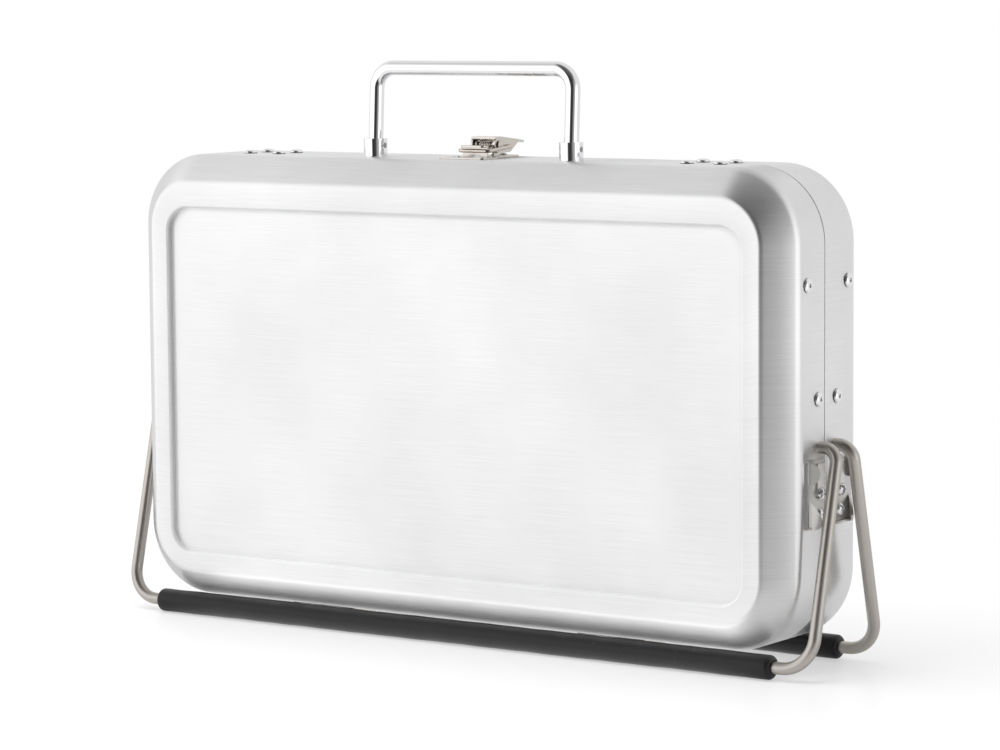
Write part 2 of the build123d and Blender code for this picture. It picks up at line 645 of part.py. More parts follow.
def latch_base():
    """Plate on the rear half with two ears for the lever pin."""
    plate = block((-BASE_W / 2, BASE_FRONT_Y, 0), (BASE_W / 2, BASE_REAR_Y, BASE_T))
    plate = fillet(plate.edges().filter_by(Axis.Z).sort_by(Axis.Y)[-2:], KEEPER_CORNER_R)
    outer = LEVER_W / 2 - LEVER_T - BODY_GAP
    ear_r = LEVER_EYE_R - LEVER_T - BODY_GAP
    ear = block((outer - EAR_T, LEVER_PIN_Y - ear_r, 0), (outer, LEVER_PIN_Y + ear_r, LEVER_PIN_UP))
    ear += along((outer - EAR_T, LEVER_PIN_Y, LEVER_PIN_UP), (1, 0, 0), upright(2 * ear_r, EAR_T))
    body = plate
    for piece in both_ends(ear):
        body += piece
    body -= drill((0, LEVER_PIN_Y, LEVER_PIN_UP), (1, 0, 0), LEVER_PIN_D, LEVER_W)
    body = Pos(0, 0, CASE_TOP) * body
    for seat in base_rivets():
        body -= drill(seat, (0, 0, 1), LATCH_RIVET_D, 2 * BASE_T)
    return body


def lever_pin():
    reach = LEVER_W / 2 + BODY_GAP
    pin = Cylinder(LEVER_PIN_D / 2, 2 * reach)
    head = Cylinder(LEVER_PIN_HEAD_D / 2, LEVER_PIN_HEAD_H)
    for x_sign in (-1, 1):
        pin += Pos(0, 0, x_sign * (reach + LEVER_PIN_HEAD_H / 2)) * head
    return along((0, LEVER_PIN_Y, LEVER_PIN_Z), (1, 0, 0), pin)


def side_view(*points):
    """Plane on X = 0 whose sketch points are (Y, height above the case top)."""
    return make_face(Polyline(*[(0, y, z) for y, z in points], close=True))


def latch_lever():
    """Channel with two flanks that turn on the pin, its web running out into a finger tab."""
    top = LEVER_PIN_UP + LEVER_EYE_R
    web = side_view(
        (LEVER_FRONT_Y, top), (LEVER_BREAK_Y, top), (LEVER_FLANK_Y, LEVER_FLANK_UP),
        (LEVER_TIP_Y, LEVER_TIP_UP), (LEVER_TIP_Y, LEVER_TIP_UP - LEVER_T),
        (LEVER_FLANK_Y, LEVER_FLANK_UP - LEVER_T),
        (LEVER_BREAK_Y, top - LEVER_T), (LEVER_FRONT_Y, top - LEVER_T),
    )
    flank = side_view(
        (LEVER_PIN_Y, top), (LEVER_BREAK_Y, top), (LEVER_FLANK_Y, LEVER_FLANK_UP),
        (LEVER_FLANK_Y, LEVER_FLANK_UP - LEVER_T), (LEVER_BELLY_Y, LEVER_BELLY_UP),
        (LEVER_PIN_Y, LEVER_PIN_UP - LEVER_EYE_R),
    )
    body = extrude(web, LEVER_W / 2, both=True)
    tip_r = LEVER_TIP_W / 2
    plan = make_face(Polyline(
        (-LEVER_W / 2, LEVER_FRONT_Y), (LEVER_W / 2, LEVER_FRONT_Y), (LEVER_W / 2, LEVER_FLANK_Y),
        (tip_r, LEVER_TIP_Y - tip_r), (-tip_r, LEVER_TIP_Y - tip_r), (-LEVER_W / 2, LEVER_FLANK_Y),
        close=True,
    )) + Pos(0, LEVER_TIP_Y - tip_r) * Circle(tip_r)
    body &= extrude(plan, 2 * top)
    inner_x = LEVER_W / 2 - LEVER_T
    cheek = Pos(inner_x, 0, 0) * extrude(flank, LEVER_T, dir=(1, 0, 0))
    cheek += along((inner_x, LEVER_PIN_Y, LEVER_PIN_UP), (1, 0, 0), upright(2 * LEVER_EYE_R, LEVER_T))
    for piece in both_ends(cheek):
        body += piece
    # the folds between web and flanks run level to the break, then slope down to the flanks' end
    slope = (LEVER_FLANK_UP - top) / (LEVER_FLANK_Y - LEVER_BREAK_Y)
    folds = [
        edge for edge in body.edges()
        if abs(abs(edge.center().X) - LEVER_W / 2) < 0.01 and edge.center().Y < LEVER_FLANK_Y
        and abs(top + slope * max(edge.center().Y - LEVER_BREAK_Y, 0) - edge.center().Z) < 0.01
    ]
    body = fillet(folds, LEVER_FOLD_R)
    body -= drill((0, LEVER_PIN_Y, LEVER_PIN_UP), (1, 0, 0), LEVER_PIN_D + 2 * RUNNING, LEVER_W)
    body -= drill((0, BAIL_HOLE_Y, BAIL_HOLE_UP), (1, 0, 0), WIRE_D + 2 * RUNNING, LEVER_W)
    return Pos(0, 0, CASE_TOP) * body


def latch_bail():
    """Bent wire loop: bar under the keeper's lip, two arms and ends turned into the lever."""
    x, end = BAIL_SPAN / 2, LEVER_W / 2 - LEVER_T - BAIL_END_INSIDE
    hole_z, bar_z = CASE_TOP + BAIL_HOLE_UP, CASE_TOP + BAIL_BAR_UP
    right = [(x, BAIL_BAR_Y, bar_z), (x, BAIL_HOLE_Y, hole_z), (end, BAIL_HOLE_Y, hole_z)]
    left = [(-px, y, z) for px, y, z in reversed(right)]
    bends = (BAIL_END_BEND_R, BAIL_BEND_R, BAIL_BEND_R, BAIL_END_BEND_R)
    return rod(FilletPolyline(*left, *right, radius=bends), WIRE_D)


def biarc(start, start_dir, end, end_dir):
    """Two tangent arcs from one point and direction to another."""
    chord = end - start
    spread = 2 * (1 - start_dir.dot(end_dir))
    lean = chord.dot(start_dir + end_dir)
    reach = (sqrt(lean**2 + 2 * spread * chord.dot(chord)) - lean) / spread
    joint = (start + end + (start_dir - end_dir) * reach) * 0.5
    joint_dir = ((end - end_dir * reach) - (start + start_dir * reach)).normalized()
    return [TangentArc(start, joint, tangent=start_dir), TangentArc(joint, end, tangent=joint_dir)]


def coil_point(angle, rise):
    """Point and direction of the spring's centre line at an angle, on the lever pin's axis."""
    a, r = radians(angle), SPRING_COIL_R
    point = Vector(rise * angle, LEVER_PIN_Y + r * cos(a), LEVER_PIN_Z + r * sin(a))
    return point, Vector(degrees(rise), -r * sin(a), r * cos(a)).normalized()


def latch_spring():
    """Torsion coil round the lever pin, one leg on the base and one under the lever's web."""
    drop = LEVER_PIN_UP - BASE_T - SPRING_WIRE_D / 2
    dip = atan2(SPRING_LOWER_LEG, SPRING_COIL_R) - acos(drop / hypot(SPRING_LOWER_LEG, SPRING_COIL_R))
    turn = 360 * SPRING_WHOLE_TURNS + 180 - degrees(dip)
    rise = (SPRING_WIRE_D + SPRING_GAP) / 360
    start = SPRING_START_ANGLE
    quarters = 4 * SPRING_WHOLE_TURNS + 2
    angles = [start + turn * i / quarters for i in range(quarters + 1)]
    middle = Vector(rise * (start + turn / 2), 0, 0)
    nodes = [coil_point(angle, rise) for angle in angles]
    nodes = [(point - middle, direction) for point, direction in nodes]
    edges = []
    for (a, a_dir), (b, b_dir) in zip(nodes, nodes[1:]):
        edges += biarc(a, a_dir, b, b_dir)
    (first, first_dir), (last, last_dir) = nodes[0], nodes[-1]
    upper = Line(first - first_dir * SPRING_UPPER_LEG, first)
    lower = Line(last, last + last_dir * SPRING_LOWER_LEG)
    samples = [coil_point(start + turn * i / 400, rise)[0] for i in range(401)]
    half_turn = int(400 * 180 / turn) + 1
    least = min((a - b).length for i, a in enumerate(samples) for b in samples[i + half_turn:])
    print(f"latch spring: least gap between turns {least - SPRING_WIRE_D:.2f} mm")
    return rod(Wire([upper, *edges, lower]), SPRING_WIRE_D)


for name, side in HALVES.items():
    save(f"{name}_shell", shell(side))
    save(f"{name}_leg_rod", leg(side))
    save(f"{name}_leg_sleeve", sleeve(side))
    save(f"{name}_leg_retainers", *leg_retainers(side))
    save(f"{name}_leg_brackets", *brackets(side))
    screws, nuts = bracket_fasteners(side)
    save(f"{name}_bracket_screws", *screws)
    save(f"{name}_bracket_nuts", *nuts)
    save(f"{name}_grid_frame", grid_frame(side))
    save(f"{name}_grid_bars", *grid_bars(side))
    save(f"{name}_grid_cross_wires", *grid_cross_wires(side))
    save(f"{name}_grid_clips", *grid_clips(side))
    save(f"{name}_charcoal_plate", charcoal_plate(side))
    clip_grip, leaf_grip = SHEET + CLIP_T, SHEET + HINGE_LEAF_T
    save(f"{name}_clip_rivets", *[along(p, d, pop_rivet(clip_grip)) for p, d in clip_rivets(side)])
    save(f"{name}_plate_rivets", *[along(p, d, pop_rivet(2 * SHEET)) for p, d in lug_rivets(side)])
    save(f"{name}_hinge_leaves", *hinge_leaves(side))
    save(f"{name}_hinge_rivets", *[along(p, d, pop_rivet(leaf_grip)) for p, d in hinge_rivets(side)])

save("hinge_pins", *hinge_pins())
save("handle", handle())
for name, shapes in zip(("handle_collars", "collar_nuts", "collar_pins"), handle_mounting()):
    save(name, *shapes)
save("latch_keeper", latch_keeper())
save("latch_keeper_rivets", *[Pos(*seat) * latch_rivet(KEEPER_T + SHEET) for seat in keeper_rivets()])
save("latch_base", latch_base())
save("latch_base_rivets", *[Pos(*seat) * latch_rivet(BASE_T + SHEET) for seat in base_rivets()])
save("lever_pin", lever_pin())
save("latch_spring", latch_spring())
save("latch_lever", latch_lever())
save("latch_bail", latch_bail())
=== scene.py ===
import json
import math

import bmesh
import bpy
import numpy as np
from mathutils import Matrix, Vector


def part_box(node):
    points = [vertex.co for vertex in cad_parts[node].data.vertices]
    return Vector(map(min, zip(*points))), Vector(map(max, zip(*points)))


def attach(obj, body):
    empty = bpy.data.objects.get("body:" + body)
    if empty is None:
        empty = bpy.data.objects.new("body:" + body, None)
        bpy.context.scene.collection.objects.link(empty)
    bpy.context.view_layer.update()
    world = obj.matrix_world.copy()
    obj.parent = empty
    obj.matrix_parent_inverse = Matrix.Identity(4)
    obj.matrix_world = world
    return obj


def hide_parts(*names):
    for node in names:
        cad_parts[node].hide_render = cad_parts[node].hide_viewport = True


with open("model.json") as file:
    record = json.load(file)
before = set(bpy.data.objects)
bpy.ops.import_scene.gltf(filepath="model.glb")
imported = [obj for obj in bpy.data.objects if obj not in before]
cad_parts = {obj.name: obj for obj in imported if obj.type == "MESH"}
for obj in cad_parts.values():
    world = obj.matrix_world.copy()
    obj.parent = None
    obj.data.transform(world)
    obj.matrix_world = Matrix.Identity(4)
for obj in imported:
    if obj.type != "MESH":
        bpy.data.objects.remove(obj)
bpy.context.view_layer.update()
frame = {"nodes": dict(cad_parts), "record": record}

nodes = frame["nodes"]
HALVES = {"front": -1, "rear": 1}


# The case is two drawn trays of brushed stainless sheet, front and rear. Each has a straight band, a
# 45 degree bevel, a flat ring and a sunk panel, and the two rims meet with a hair of a gap. The panel's
# pressed step is duller than the rest, and its creases on the left and right carry painted shade.
SHEET = 0.001
CORNER_R = 0.040
BEVEL = 0.0155
BAND_FOLD_R = 0.009
RING_FOLD_R = 0.005
RING_SIDE = 0.0105
RING_TOP = 0.0136
RING_BOTTOM = 0.0100
PANEL_SINK = 0.0034
PANEL_CORNER_R = 0.014
PANEL_EDGE_R = 0.0011
PANEL_CREASE_R = 0.0005
PANEL_CREASE_STEPS = 5
RIM_R = 0.0003
PANEL_CROWN = 0.00025
BEVEL_BULGE = 5.0
GUARD = 0.0002
SIDE_STEPS, END_STEPS, CORNER_STEPS = 48, 28, 20
BRUSHED_COLOUR = (0.86, 0.86, 0.865)
CREASE_SHADE_COLOUR = (0.16, 0.16, 0.17)
CREASE_SHADE_KEPT = 0.65
STEP_METALLIC = 0.35


def round_the_corners(side_steps, end_steps, arc_steps):
    """Weights and headings that walk round a rounded rectangle, anticlockwise from low on the right.

    A point is (corner_x * (half_w - r) + r * cos a, corner_z * (half_h - r) + r * sin a): on a straight
    side one corner weight slides from one corner to the next, and on a corner only the heading turns.
    """
    def slide(start, end, steps):
        return np.linspace(start, end, steps, endpoint=False)

    def hold(value, steps):
        return np.full(steps, float(value))

    quarter = math.pi / 2
    corner_x = np.concatenate([
        hold(1, end_steps), hold(1, arc_steps), slide(1, -1, side_steps), hold(-1, arc_steps),
        hold(-1, end_steps), hold(-1, arc_steps), slide(-1, 1, side_steps), hold(1, arc_steps),
    ])
    corner_z = np.concatenate([
        slide(-1, 1, end_steps), hold(1, arc_steps), hold(1, side_steps), hold(1, arc_steps),
        slide(1, -1, end_steps), hold(-1, arc_steps), hold(-1, side_steps), hold(-1, arc_steps),
    ])
    heading = np.concatenate([
        hold(0, end_steps), slide(0, quarter, arc_steps), hold(quarter, side_steps),
        slide(quarter, 2 * quarter, arc_steps), hold(2 * quarter, end_steps),
        slide(2 * quarter, 3 * quarter, arc_steps), hold(3 * quarter, side_steps),
        slide(3 * quarter, 4 * quarter, arc_steps),
    ])
    return corner_x, corner_z, heading


def arc(centre_out, centre_deep, radius, start, end, steps, hollow=False):
    """Profile points on an arc: centre plus radius times the sheet's normal, or minus it where hollow."""
    lean = np.radians(np.linspace(start, end, steps))
    sign = -1 if hollow else 1
    out = centre_out + sign * radius * np.cos(lean)
    deep = centre_deep + sign * radius * np.sin(lean)
    return np.stack([out, deep, lean], axis=1)


def bent_profile(bends):
    """Profile points along bends in turn, each a turn of the normal from one lean to another over a length.

    The lean grows evenly along each bend, and the place is the running sum of the step times
    (sin lean, -cos lean), taken at each step's middle.
    """
    leans = np.radians(np.concatenate([
        np.linspace(start, end, steps)[1 if i else 0:] for i, (start, end, _, steps) in enumerate(bends)
    ]))
    steps = np.concatenate([np.full(count - 1, length / (count - 1)) for _, _, length, count in bends])
    middle = (leans[1:] + leans[:-1]) / 2
    out = np.concatenate([[0.0], np.cumsum(steps * np.sin(middle))])
    deep = -np.concatenate([[0.0], np.cumsum(steps * np.cos(middle))])
    return np.stack([out, deep, leans], axis=1)


def flat(outs, deeps, lean):
    """Profile points on a straight run whose outward normal leans by one angle."""
    outs, deeps = np.broadcast_arrays(np.asarray(outs, float), np.asarray(deeps, float))
    return np.stack([outs, deeps, np.full(len(outs), math.radians(lean))], axis=1)


def linked(name, data):
    """One object at the origin with its data, put into the scene."""
    made = bpy.data.objects.new(name, data)
    bpy.context.scene.collection.objects.link(made)
    return made


def mesh_object(name, points, faces, uvs=None):
    """One object from vertex places, faces as lists of indices, and a UV pair for each face corner."""
    mesh = bpy.data.meshes.new(name)
    mesh.from_pydata(points.tolist(), [], faces)
    if uvs is not None:
        layer = mesh.uv_layers.new(name="sheet")
        layer.data.foreach_set("uv", np.asarray(uvs, float).ravel())
    mesh.shade_smooth()
    mesh.validate()
    return linked(name, mesh)


def ring_surface(name, rings, uvs):
    """Closed surface through rings of points, as an array (ring, point, xyz), with a pole at each end.

    Quads join neighbouring rings and wrap round; each pole is the mean of its end ring, fanned to it. The
    UV array has one more point a ring than the rings have, so that a pattern can close round a seam.
    """
    count, around = rings.shape[:2]
    ring, point = np.meshgrid(np.arange(count - 1), np.arange(around), indexing="ij")
    ring, point = ring.ravel(), point.ravel()
    after = (point + 1) % around
    quads = np.stack([
        ring * around + point, ring * around + after,
        (ring + 1) * around + after, (ring + 1) * around + point,
    ], axis=1)
    quad_uvs = np.stack([
        uvs[ring, point], uvs[ring, point + 1], uvs[ring + 1, point + 1], uvs[ring + 1, point],
    ], axis=1)
    step = np.arange(around)
    first, last = count * around, count * around + 1
    base = (count - 1) * around
    start_fan = np.stack([np.full(around, first), (step + 1) % around, step], axis=1)
    end_fan = np.stack([np.full(around, last), base + step, base + (step + 1) % around], axis=1)
    start_uvs = np.stack([(uvs[0, :-1] + uvs[0, 1:]) / 2, uvs[0, 1:], uvs[0, :-1]], axis=1)
    end_uvs = np.stack([(uvs[-1, :-1] + uvs[-1, 1:]) / 2, uvs[-1, :-1], uvs[-1, 1:]], axis=1)
    points = np.concatenate([rings.reshape(-1, 3), rings[:1].mean(axis=1), rings[-1:].mean(axis=1)])
    faces = quads.tolist() + start_fan.tolist() + end_fan.tolist()
    corners = [quad_uvs.reshape(-1, 2), start_uvs.reshape(-1, 2), end_uvs.reshape(-1, 2)]
    return mesh_object(name, points, faces, np.concatenate(corners))


def drawn_tray(name, side):
    """Drawn half of the case: one sheet profile carried round the rounded rectangle of the case.

    The profile is a list of (outward offset, depth, lean of the normal). Offsets count from the panel's
    outline on the sunk panel and its step, and from the case's outline on the band, bevel and ring. The
    inner face is the outer one moved in by a wall along the normal. UV is each point's place on the flat
    blank: its travel along the profile, laid off outwards from the panel's edge. The crease attribute is
    painted shade, cos squared of the heading on the crease's rings, and "step" is 1 on the step's rings.
    """
    low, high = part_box(f"{name}_shell")
    half_w, half_h, mid_z = (high.x - low.x) / 2, (high.z - low.z) / 2, (high.z + low.z) / 2
    face = high.y if side > 0 else -low.y
    rim = low.y if side > 0 else -high.y
    panel_w = half_w - BEVEL - RING_SIDE
    panel_h = half_h - BEVEL - (RING_TOP + RING_BOTTOM) / 2
    panel_shift = (RING_BOTTOM - RING_TOP) / 2
    panel_face = face - PANEL_SINK

    shrink = np.array([0.02, 0.15, 0.3, 0.45, 0.6, 0.72, 0.82, 0.9, 0.95, 0.98])
    floor = flat([-PANEL_CREASE_R - GUARD] * len(shrink), panel_face, 90)
    step = np.concatenate([
        flat([-PANEL_CREASE_R - GUARD], panel_face, 90),
        arc(-PANEL_CREASE_R, panel_face + PANEL_CREASE_R, PANEL_CREASE_R, 90, 180,
            PANEL_CREASE_STEPS, hollow=True),
        arc(PANEL_EDGE_R, face - PANEL_EDGE_R, PANEL_EDGE_R, 180, 90, 11),
        flat([PANEL_EDGE_R + GUARD], face, 90),
    ])
    tangent = math.tan(math.radians(22.5))
    flat_bevel = BEVEL * math.sqrt(2) - (RING_FOLD_R + BAND_FOLD_R) * tangent
    folds = bent_profile([
        (90, 45 + BEVEL_BULGE, RING_FOLD_R * math.radians(45 - BEVEL_BULGE), 11),
        (45 + BEVEL_BULGE, 45 - BEVEL_BULGE, flat_bevel, 9),
        (45 - BEVEL_BULGE, 0, BAND_FOLD_R * math.radians(45 - BEVEL_BULGE), 13),
    ])
    folds[:, 0] -= folds[-1, 0]
    folds[:, 1] += face
    band = np.concatenate([
        flat([folds[0, 0] - GUARD], face, 90),
        folds,
        flat([0.0] * 4, [folds[-1, 1] - GUARD, (folds[-1, 1] + rim) / 2, rim + RIM_R + GUARD, rim + RIM_R],
             0),
    ])
    lip = np.array([[-RIM_R * (1 - math.sqrt(0.5)), rim + RIM_R * (1 - math.sqrt(0.5))], [-RIM_R, rim]])
    inner_lip = lip[::-1] * (-1, 1) + (-SHEET, 0)

    def walk(profile, inward):
        out = profile[:, 0] - inward * np.cos(profile[:, 2])
        deep = profile[:, 1] - inward * np.sin(profile[:, 2])
        return out, deep

    def rings_of(inward):
        """Half width, half height, corner radius, shift and depth of each ring, middle to rim."""
        floor_out, floor_deep = walk(floor, inward)
        step_out, step_deep = walk(step, inward)
        band_out, band_deep = walk(band, inward)
        crown = PANEL_CROWN * (1 - shrink**2)
        rows = [
            np.stack([(panel_w + floor_out) * shrink, (panel_h + floor_out) * shrink,
                      (PANEL_CORNER_R + floor_out) * shrink, np.full(len(shrink), panel_shift),
                      floor_deep + crown], axis=1),
            np.stack([panel_w + step_out, panel_h + step_out, PANEL_CORNER_R + step_out,
                      np.full(len(step), panel_shift), step_deep], axis=1),
            np.stack([half_w + band_out, half_h + band_out, CORNER_R + band_out,
                      np.zeros(len(band)), band_deep], axis=1),
        ]
        return np.concatenate(rows)

    outer, inner = rings_of(0.0), rings_of(SHEET)[::-1]
    edge = np.concatenate([lip, inner_lip])
    rim_rows = np.stack([half_w + edge[:, 0], half_h + edge[:, 0], CORNER_R + edge[:, 0],
                         np.zeros(4), edge[:, 1]], axis=1)
    rows = np.concatenate([outer, rim_rows, inner])
    corner_x, corner_z, heading = round_the_corners(SIDE_STEPS, END_STEPS, CORNER_STEPS)
    wide, tall, radius, shift, deep = (rows[:, i, None] for i in range(5))
    x = corner_x * (wide - radius) + radius * np.cos(heading)
    z = corner_z * (tall - radius) + radius * np.sin(heading) + shift + mid_z
    y = side * np.broadcast_to(deep, x.shape)
    rings = np.stack([x, y, z], axis=2)

    run = np.hypot(np.diff(rows[:, 0], prepend=rows[0, 0]), np.diff(rows[:, 4], prepend=rows[0, 4]))
    to_edge = len(shrink)
    travel = np.cumsum(np.where(np.arange(len(rows)) <= to_edge, 0, run))
    travel = np.minimum(travel, travel[-1] - travel + 0.2 * SHEET)[:, None]
    edge_x = np.where(travel > 0, x[to_edge], x)
    edge_z = np.where(travel > 0, z[to_edge], z)
    blank = np.stack([edge_x + travel * np.cos(heading), edge_z + travel * np.sin(heading)], axis=2)
    blank = np.concatenate([blank, blank[:, :1]], axis=1)
    if side > 0:
        rings, blank = rings[:, ::-1], blank[:, ::-1]
    tray = ring_surface(f"{name}_tray", rings, blank)

    # Painted shade on the crease's rings, strongest where the crease runs up and down.
    in_crease_shade = np.zeros((len(rows), 1))
    in_crease_shade[len(shrink) + 1:len(shrink) + 1 + PANEL_CREASE_STEPS] = 1.0
    crease_shade = in_crease_shade * np.cos(heading if side < 0 else heading[::-1]) ** 2
    on_step = np.zeros((len(rows), x.shape[1]))
    on_step[len(shrink):len(shrink) + len(step)] = 1.0
    for kind, weight in (("crease_shade", crease_shade), ("step", on_step)):
        layer = tray.data.attributes.new(kind, "FLOAT", "POINT")
        layer.data.foreach_set("value", np.concatenate([weight.ravel(), [0.0, 0.0]]))
    return tray


def node(tree, kind, sockets=None, **settings):
    """Adds a node, sets its settings, and gives each named input a value or a link from an output."""
    made = tree.nodes.new(kind)
    for name, value in settings.items():
        setattr(made, name, value)
    for name, value in (sockets or {}).items():
        if isinstance(value, bpy.types.NodeSocket):
            tree.links.new(value, made.inputs[name])
        else:
            made.inputs[name].default_value = value
    return made


def metal(name, colour, roughness, grain_scale, grain_depth, uv=None, swing=0.05, anisotropic=0.0):
    """Bare or plated metal: stretched noise gives the brush marks in the colour, roughness and bump."""
    made = bpy.data.materials.new(name)
    made.use_nodes = True
    tree = made.node_tree
    shader = tree.nodes["Principled BSDF"]
    shader.inputs["Metallic"].default_value = 1.0
    shader.inputs["Anisotropic"].default_value = anisotropic
    if uv:
        place = node(tree, "ShaderNodeUVMap", uv_map=uv).outputs["UV"]
    else:
        place = node(tree, "ShaderNodeTexCoord").outputs["Object"]
    stretched = node(tree, "ShaderNodeMapping", {"Vector": place, "Scale": grain_scale})
    marks = node(tree, "ShaderNodeTexNoise", {
        "Vector": stretched.outputs["Vector"], "Scale": 1.0, "Detail": 6.0, "Roughness": 0.65,
    })
    cloud = node(tree, "ShaderNodeTexNoise", {"Vector": place, "Scale": 9.0, "Detail": 3.0})
    marks_and_cloud = node(tree, "ShaderNodeMath", {
        0: marks.outputs["Fac"], 1: cloud.outputs["Fac"],
    }, operation="ADD")
    shade = node(tree, "ShaderNodeMapRange", {
        "Value": marks_and_cloud.outputs[0], "From Min": 0.6, "From Max": 1.4, "To Min": 0.0, "To Max": 1.0,
    })
    dark = [channel * (1 - swing) for channel in colour]
    light = [min(channel * (1 + swing), 1.0) for channel in colour]
    ramp = node(tree, "ShaderNodeValToRGB", {"Fac": shade.outputs["Result"]})
    ramp.color_ramp.elements[0].color = (*dark, 1.0)
    ramp.color_ramp.elements[1].color = (*light, 1.0)
    tree.links.new(ramp.outputs["Color"], shader.inputs["Base Color"])
    rough = node(tree, "ShaderNodeMapRange", {
        "Value": marks.outputs["Fac"], "From Min": 0.3, "From Max": 0.7,
        "To Min": roughness * 0.88, "To Max": roughness * 1.12,
    })
    tree.links.new(rough.outputs["Result"], shader.inputs["Roughness"])
    bump = node(tree, "ShaderNodeBump", {
        "Height": marks.outputs["Fac"], "Strength": 1.0, "Distance": grain_depth,
    })
    tree.links.new(bump.outputs["Normal"], shader.inputs["Normal"])
    return made


def shaded(surface, shade, dark):
    """Lets a finish go over into a dark colour where the shade socket falls to 0."""
    tree = surface.node_tree
    shader = tree.nodes["Principled BSDF"]
    plain = shader.inputs["Base Color"].links[0].from_socket
    mixed = node(tree, "ShaderNodeMix", {"Factor": shade, "A": (*dark, 1.0), "B": plain}, data_type="RGBA")
    tree.links.new(mixed.outputs["Result"], shader.inputs["Base Color"])


brushed_sheet = metal("brushed_stainless_sheet", BRUSHED_COLOUR, 0.37, (22, 2300, 1), 0.000004,
                      uv="sheet", swing=0.12, anisotropic=0.9)
tree = brushed_sheet.node_tree
shader = tree.nodes["Principled BSDF"]
# Painted shade: the sheet's colour goes part way to dark along the panel's creases.
in_crease_shade = node(tree, "ShaderNodeAttribute", attribute_name="crease_shade")
out_of_crease_shade = node(tree, "ShaderNodeMapRange", {
    "Value": in_crease_shade.outputs["Fac"], "To Min": 1.0, "To Max": CREASE_SHADE_KEPT,
})
shaded(brushed_sheet, out_of_crease_shade.outputs["Result"], CREASE_SHADE_COLOUR)
on_step = node(tree, "ShaderNodeAttribute", attribute_name="step")
blasted = node(tree, "ShaderNodeMapRange", {
    "Value": on_step.outputs["Fac"], "To Min": 1.0, "To Max": STEP_METALLIC,
})
tree.links.new(blasted.outputs["Result"], shader.inputs["Metallic"])
brush_lines = node(tree, "ShaderNodeTangent", direction_type="UV_MAP", uv_map="sheet")
tree.links.new(brush_lines.outputs["Tangent"], shader.inputs["Tangent"])
shader.inputs["Anisotropic Rotation"].default_value = 0.25
for name, side in HALVES.items():
    tray = drawn_tray(name, side)
    tray.data.materials.append(brushed_sheet)
    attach(tray, f"{name}_half")
    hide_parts(f"{name}_shell")


# Inside each half a perforated plate carries the charcoal, and a chromed grid rests in clips over it.
# They are plain cold rolled sheet and drawn wire, riveted or sprung into the trays.
MERGE_WITHIN = 0.000004
FLAT_WITHIN = math.radians(1.5)
EASED_OVER = math.radians(32)
plain_sheet = metal("plain_cold_rolled_sheet", (0.62, 0.62, 0.61), 0.34, (300, 300, 30), 0.000002,
                    swing=0.06)
chromed_wire = metal("chromed_grid_wire", (0.72, 0.72, 0.73), 0.16, (200, 200, 200), 0.000003)
BODIES = frame["record"]["behaviour"]["bodies"]
BODY_OF = {member: body for body, members in BODIES.items() for member in members}


def finish_nodes(surface, *names):
    """Gives CAD nodes a finish in place of their plain one."""
    for name in names:
        slots = nodes[name].data.materials
        slots.clear()
        slots.append(surface)


def stand_in_for(piece, surface, name):
    """Gives a new piece its finish, and puts it in the place of a CAD node, on the node's body."""
    piece.data.materials.append(surface)
    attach(piece, BODY_OF[name])
    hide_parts(name)


def eased(name, surface, width):
    """Copy of a CAD node with its corners rounded over by a width, as tumbling leaves pressed sheet.

    The copy's loose triangles are merged and flattened into faces before the edges are bevelled, and each
    corner's normal is the mean of its faces' weighted by their areas, so that flats stay flat.
    """
    mesh = nodes[name].data.copy()
    mesh.materials.clear()
    solid = bmesh.new()
    solid.from_mesh(mesh)
    bmesh.ops.remove_doubles(solid, verts=solid.verts, dist=MERGE_WITHIN)
    bmesh.ops.dissolve_limit(solid, angle_limit=FLAT_WITHIN, verts=solid.verts, edges=solid.edges)
    solid.to_mesh(mesh)
    solid.free()
    mesh.shade_smooth()
    piece = linked(f"{name}_eased", mesh)
    edges = piece.modifiers.new("rounded_edges", "BEVEL")
    edges.width = width
    edges.segments = 2
    edges.limit_method = "ANGLE"
    edges.angle_limit = EASED_OVER
    flats = piece.modifiers.new("flat_faces", "WEIGHTED_NORMAL")
    flats.keep_sharp = False
    stand_in_for(piece, surface, name)


for name in HALVES:
    finish_nodes(plain_sheet, f"{name}_charcoal_plate", f"{name}_grid_clips", f"{name}_leg_retainers")
    finish_nodes(chromed_wire, f"{name}_grid_frame", f"{name}_grid_bars", f"{name}_grid_cross_wires")


# Pop rivets hold the clips, the plates and the hinges, and screws hold the leg brackets. The rivets are
# satin aluminium with an open middle and painted shade at the foot and in the bore; the screws and nuts are
# zinc plated steel. The hinge rivets keep the CAD head's height, because they nearly meet when the case
# is open.
RIVET_HEAD_R = 0.0037
RIVET_HEAD_H = 0.0013
RIVET_DOME_H = 0.0017
RIVET_FLANGE_H = 0.0004
RIVET_BORE_R = 0.0011
RIVET_BORE_DEEP = 0.0012
RIVET_R = 0.002
RIVET_TAIL_R = 0.0029
RIVET_TAIL_H = 0.002
RIVET_LIP = 0.0003
RIVET_FOOT_SHADE_H = 0.0005
RIVET_DARK_R = 0.0009
RIVET_UNSHADED_R = 0.0012
RIVET_SHADE = (0.10, 0.10, 0.11)
SCREW_EASE = 0.00012
CASE_MID_Z = 0.1361
rivet_metal = metal("satin_rivets", (0.93, 0.93, 0.93), 0.20, (300, 300, 300), 0.000002, swing=0.02)
tree = rivet_metal.node_tree
height_and_radius = node(tree, "ShaderNodeSeparateXYZ", {
    0: node(tree, "ShaderNodeUVMap", uv_map="sheet").outputs["UV"],
})
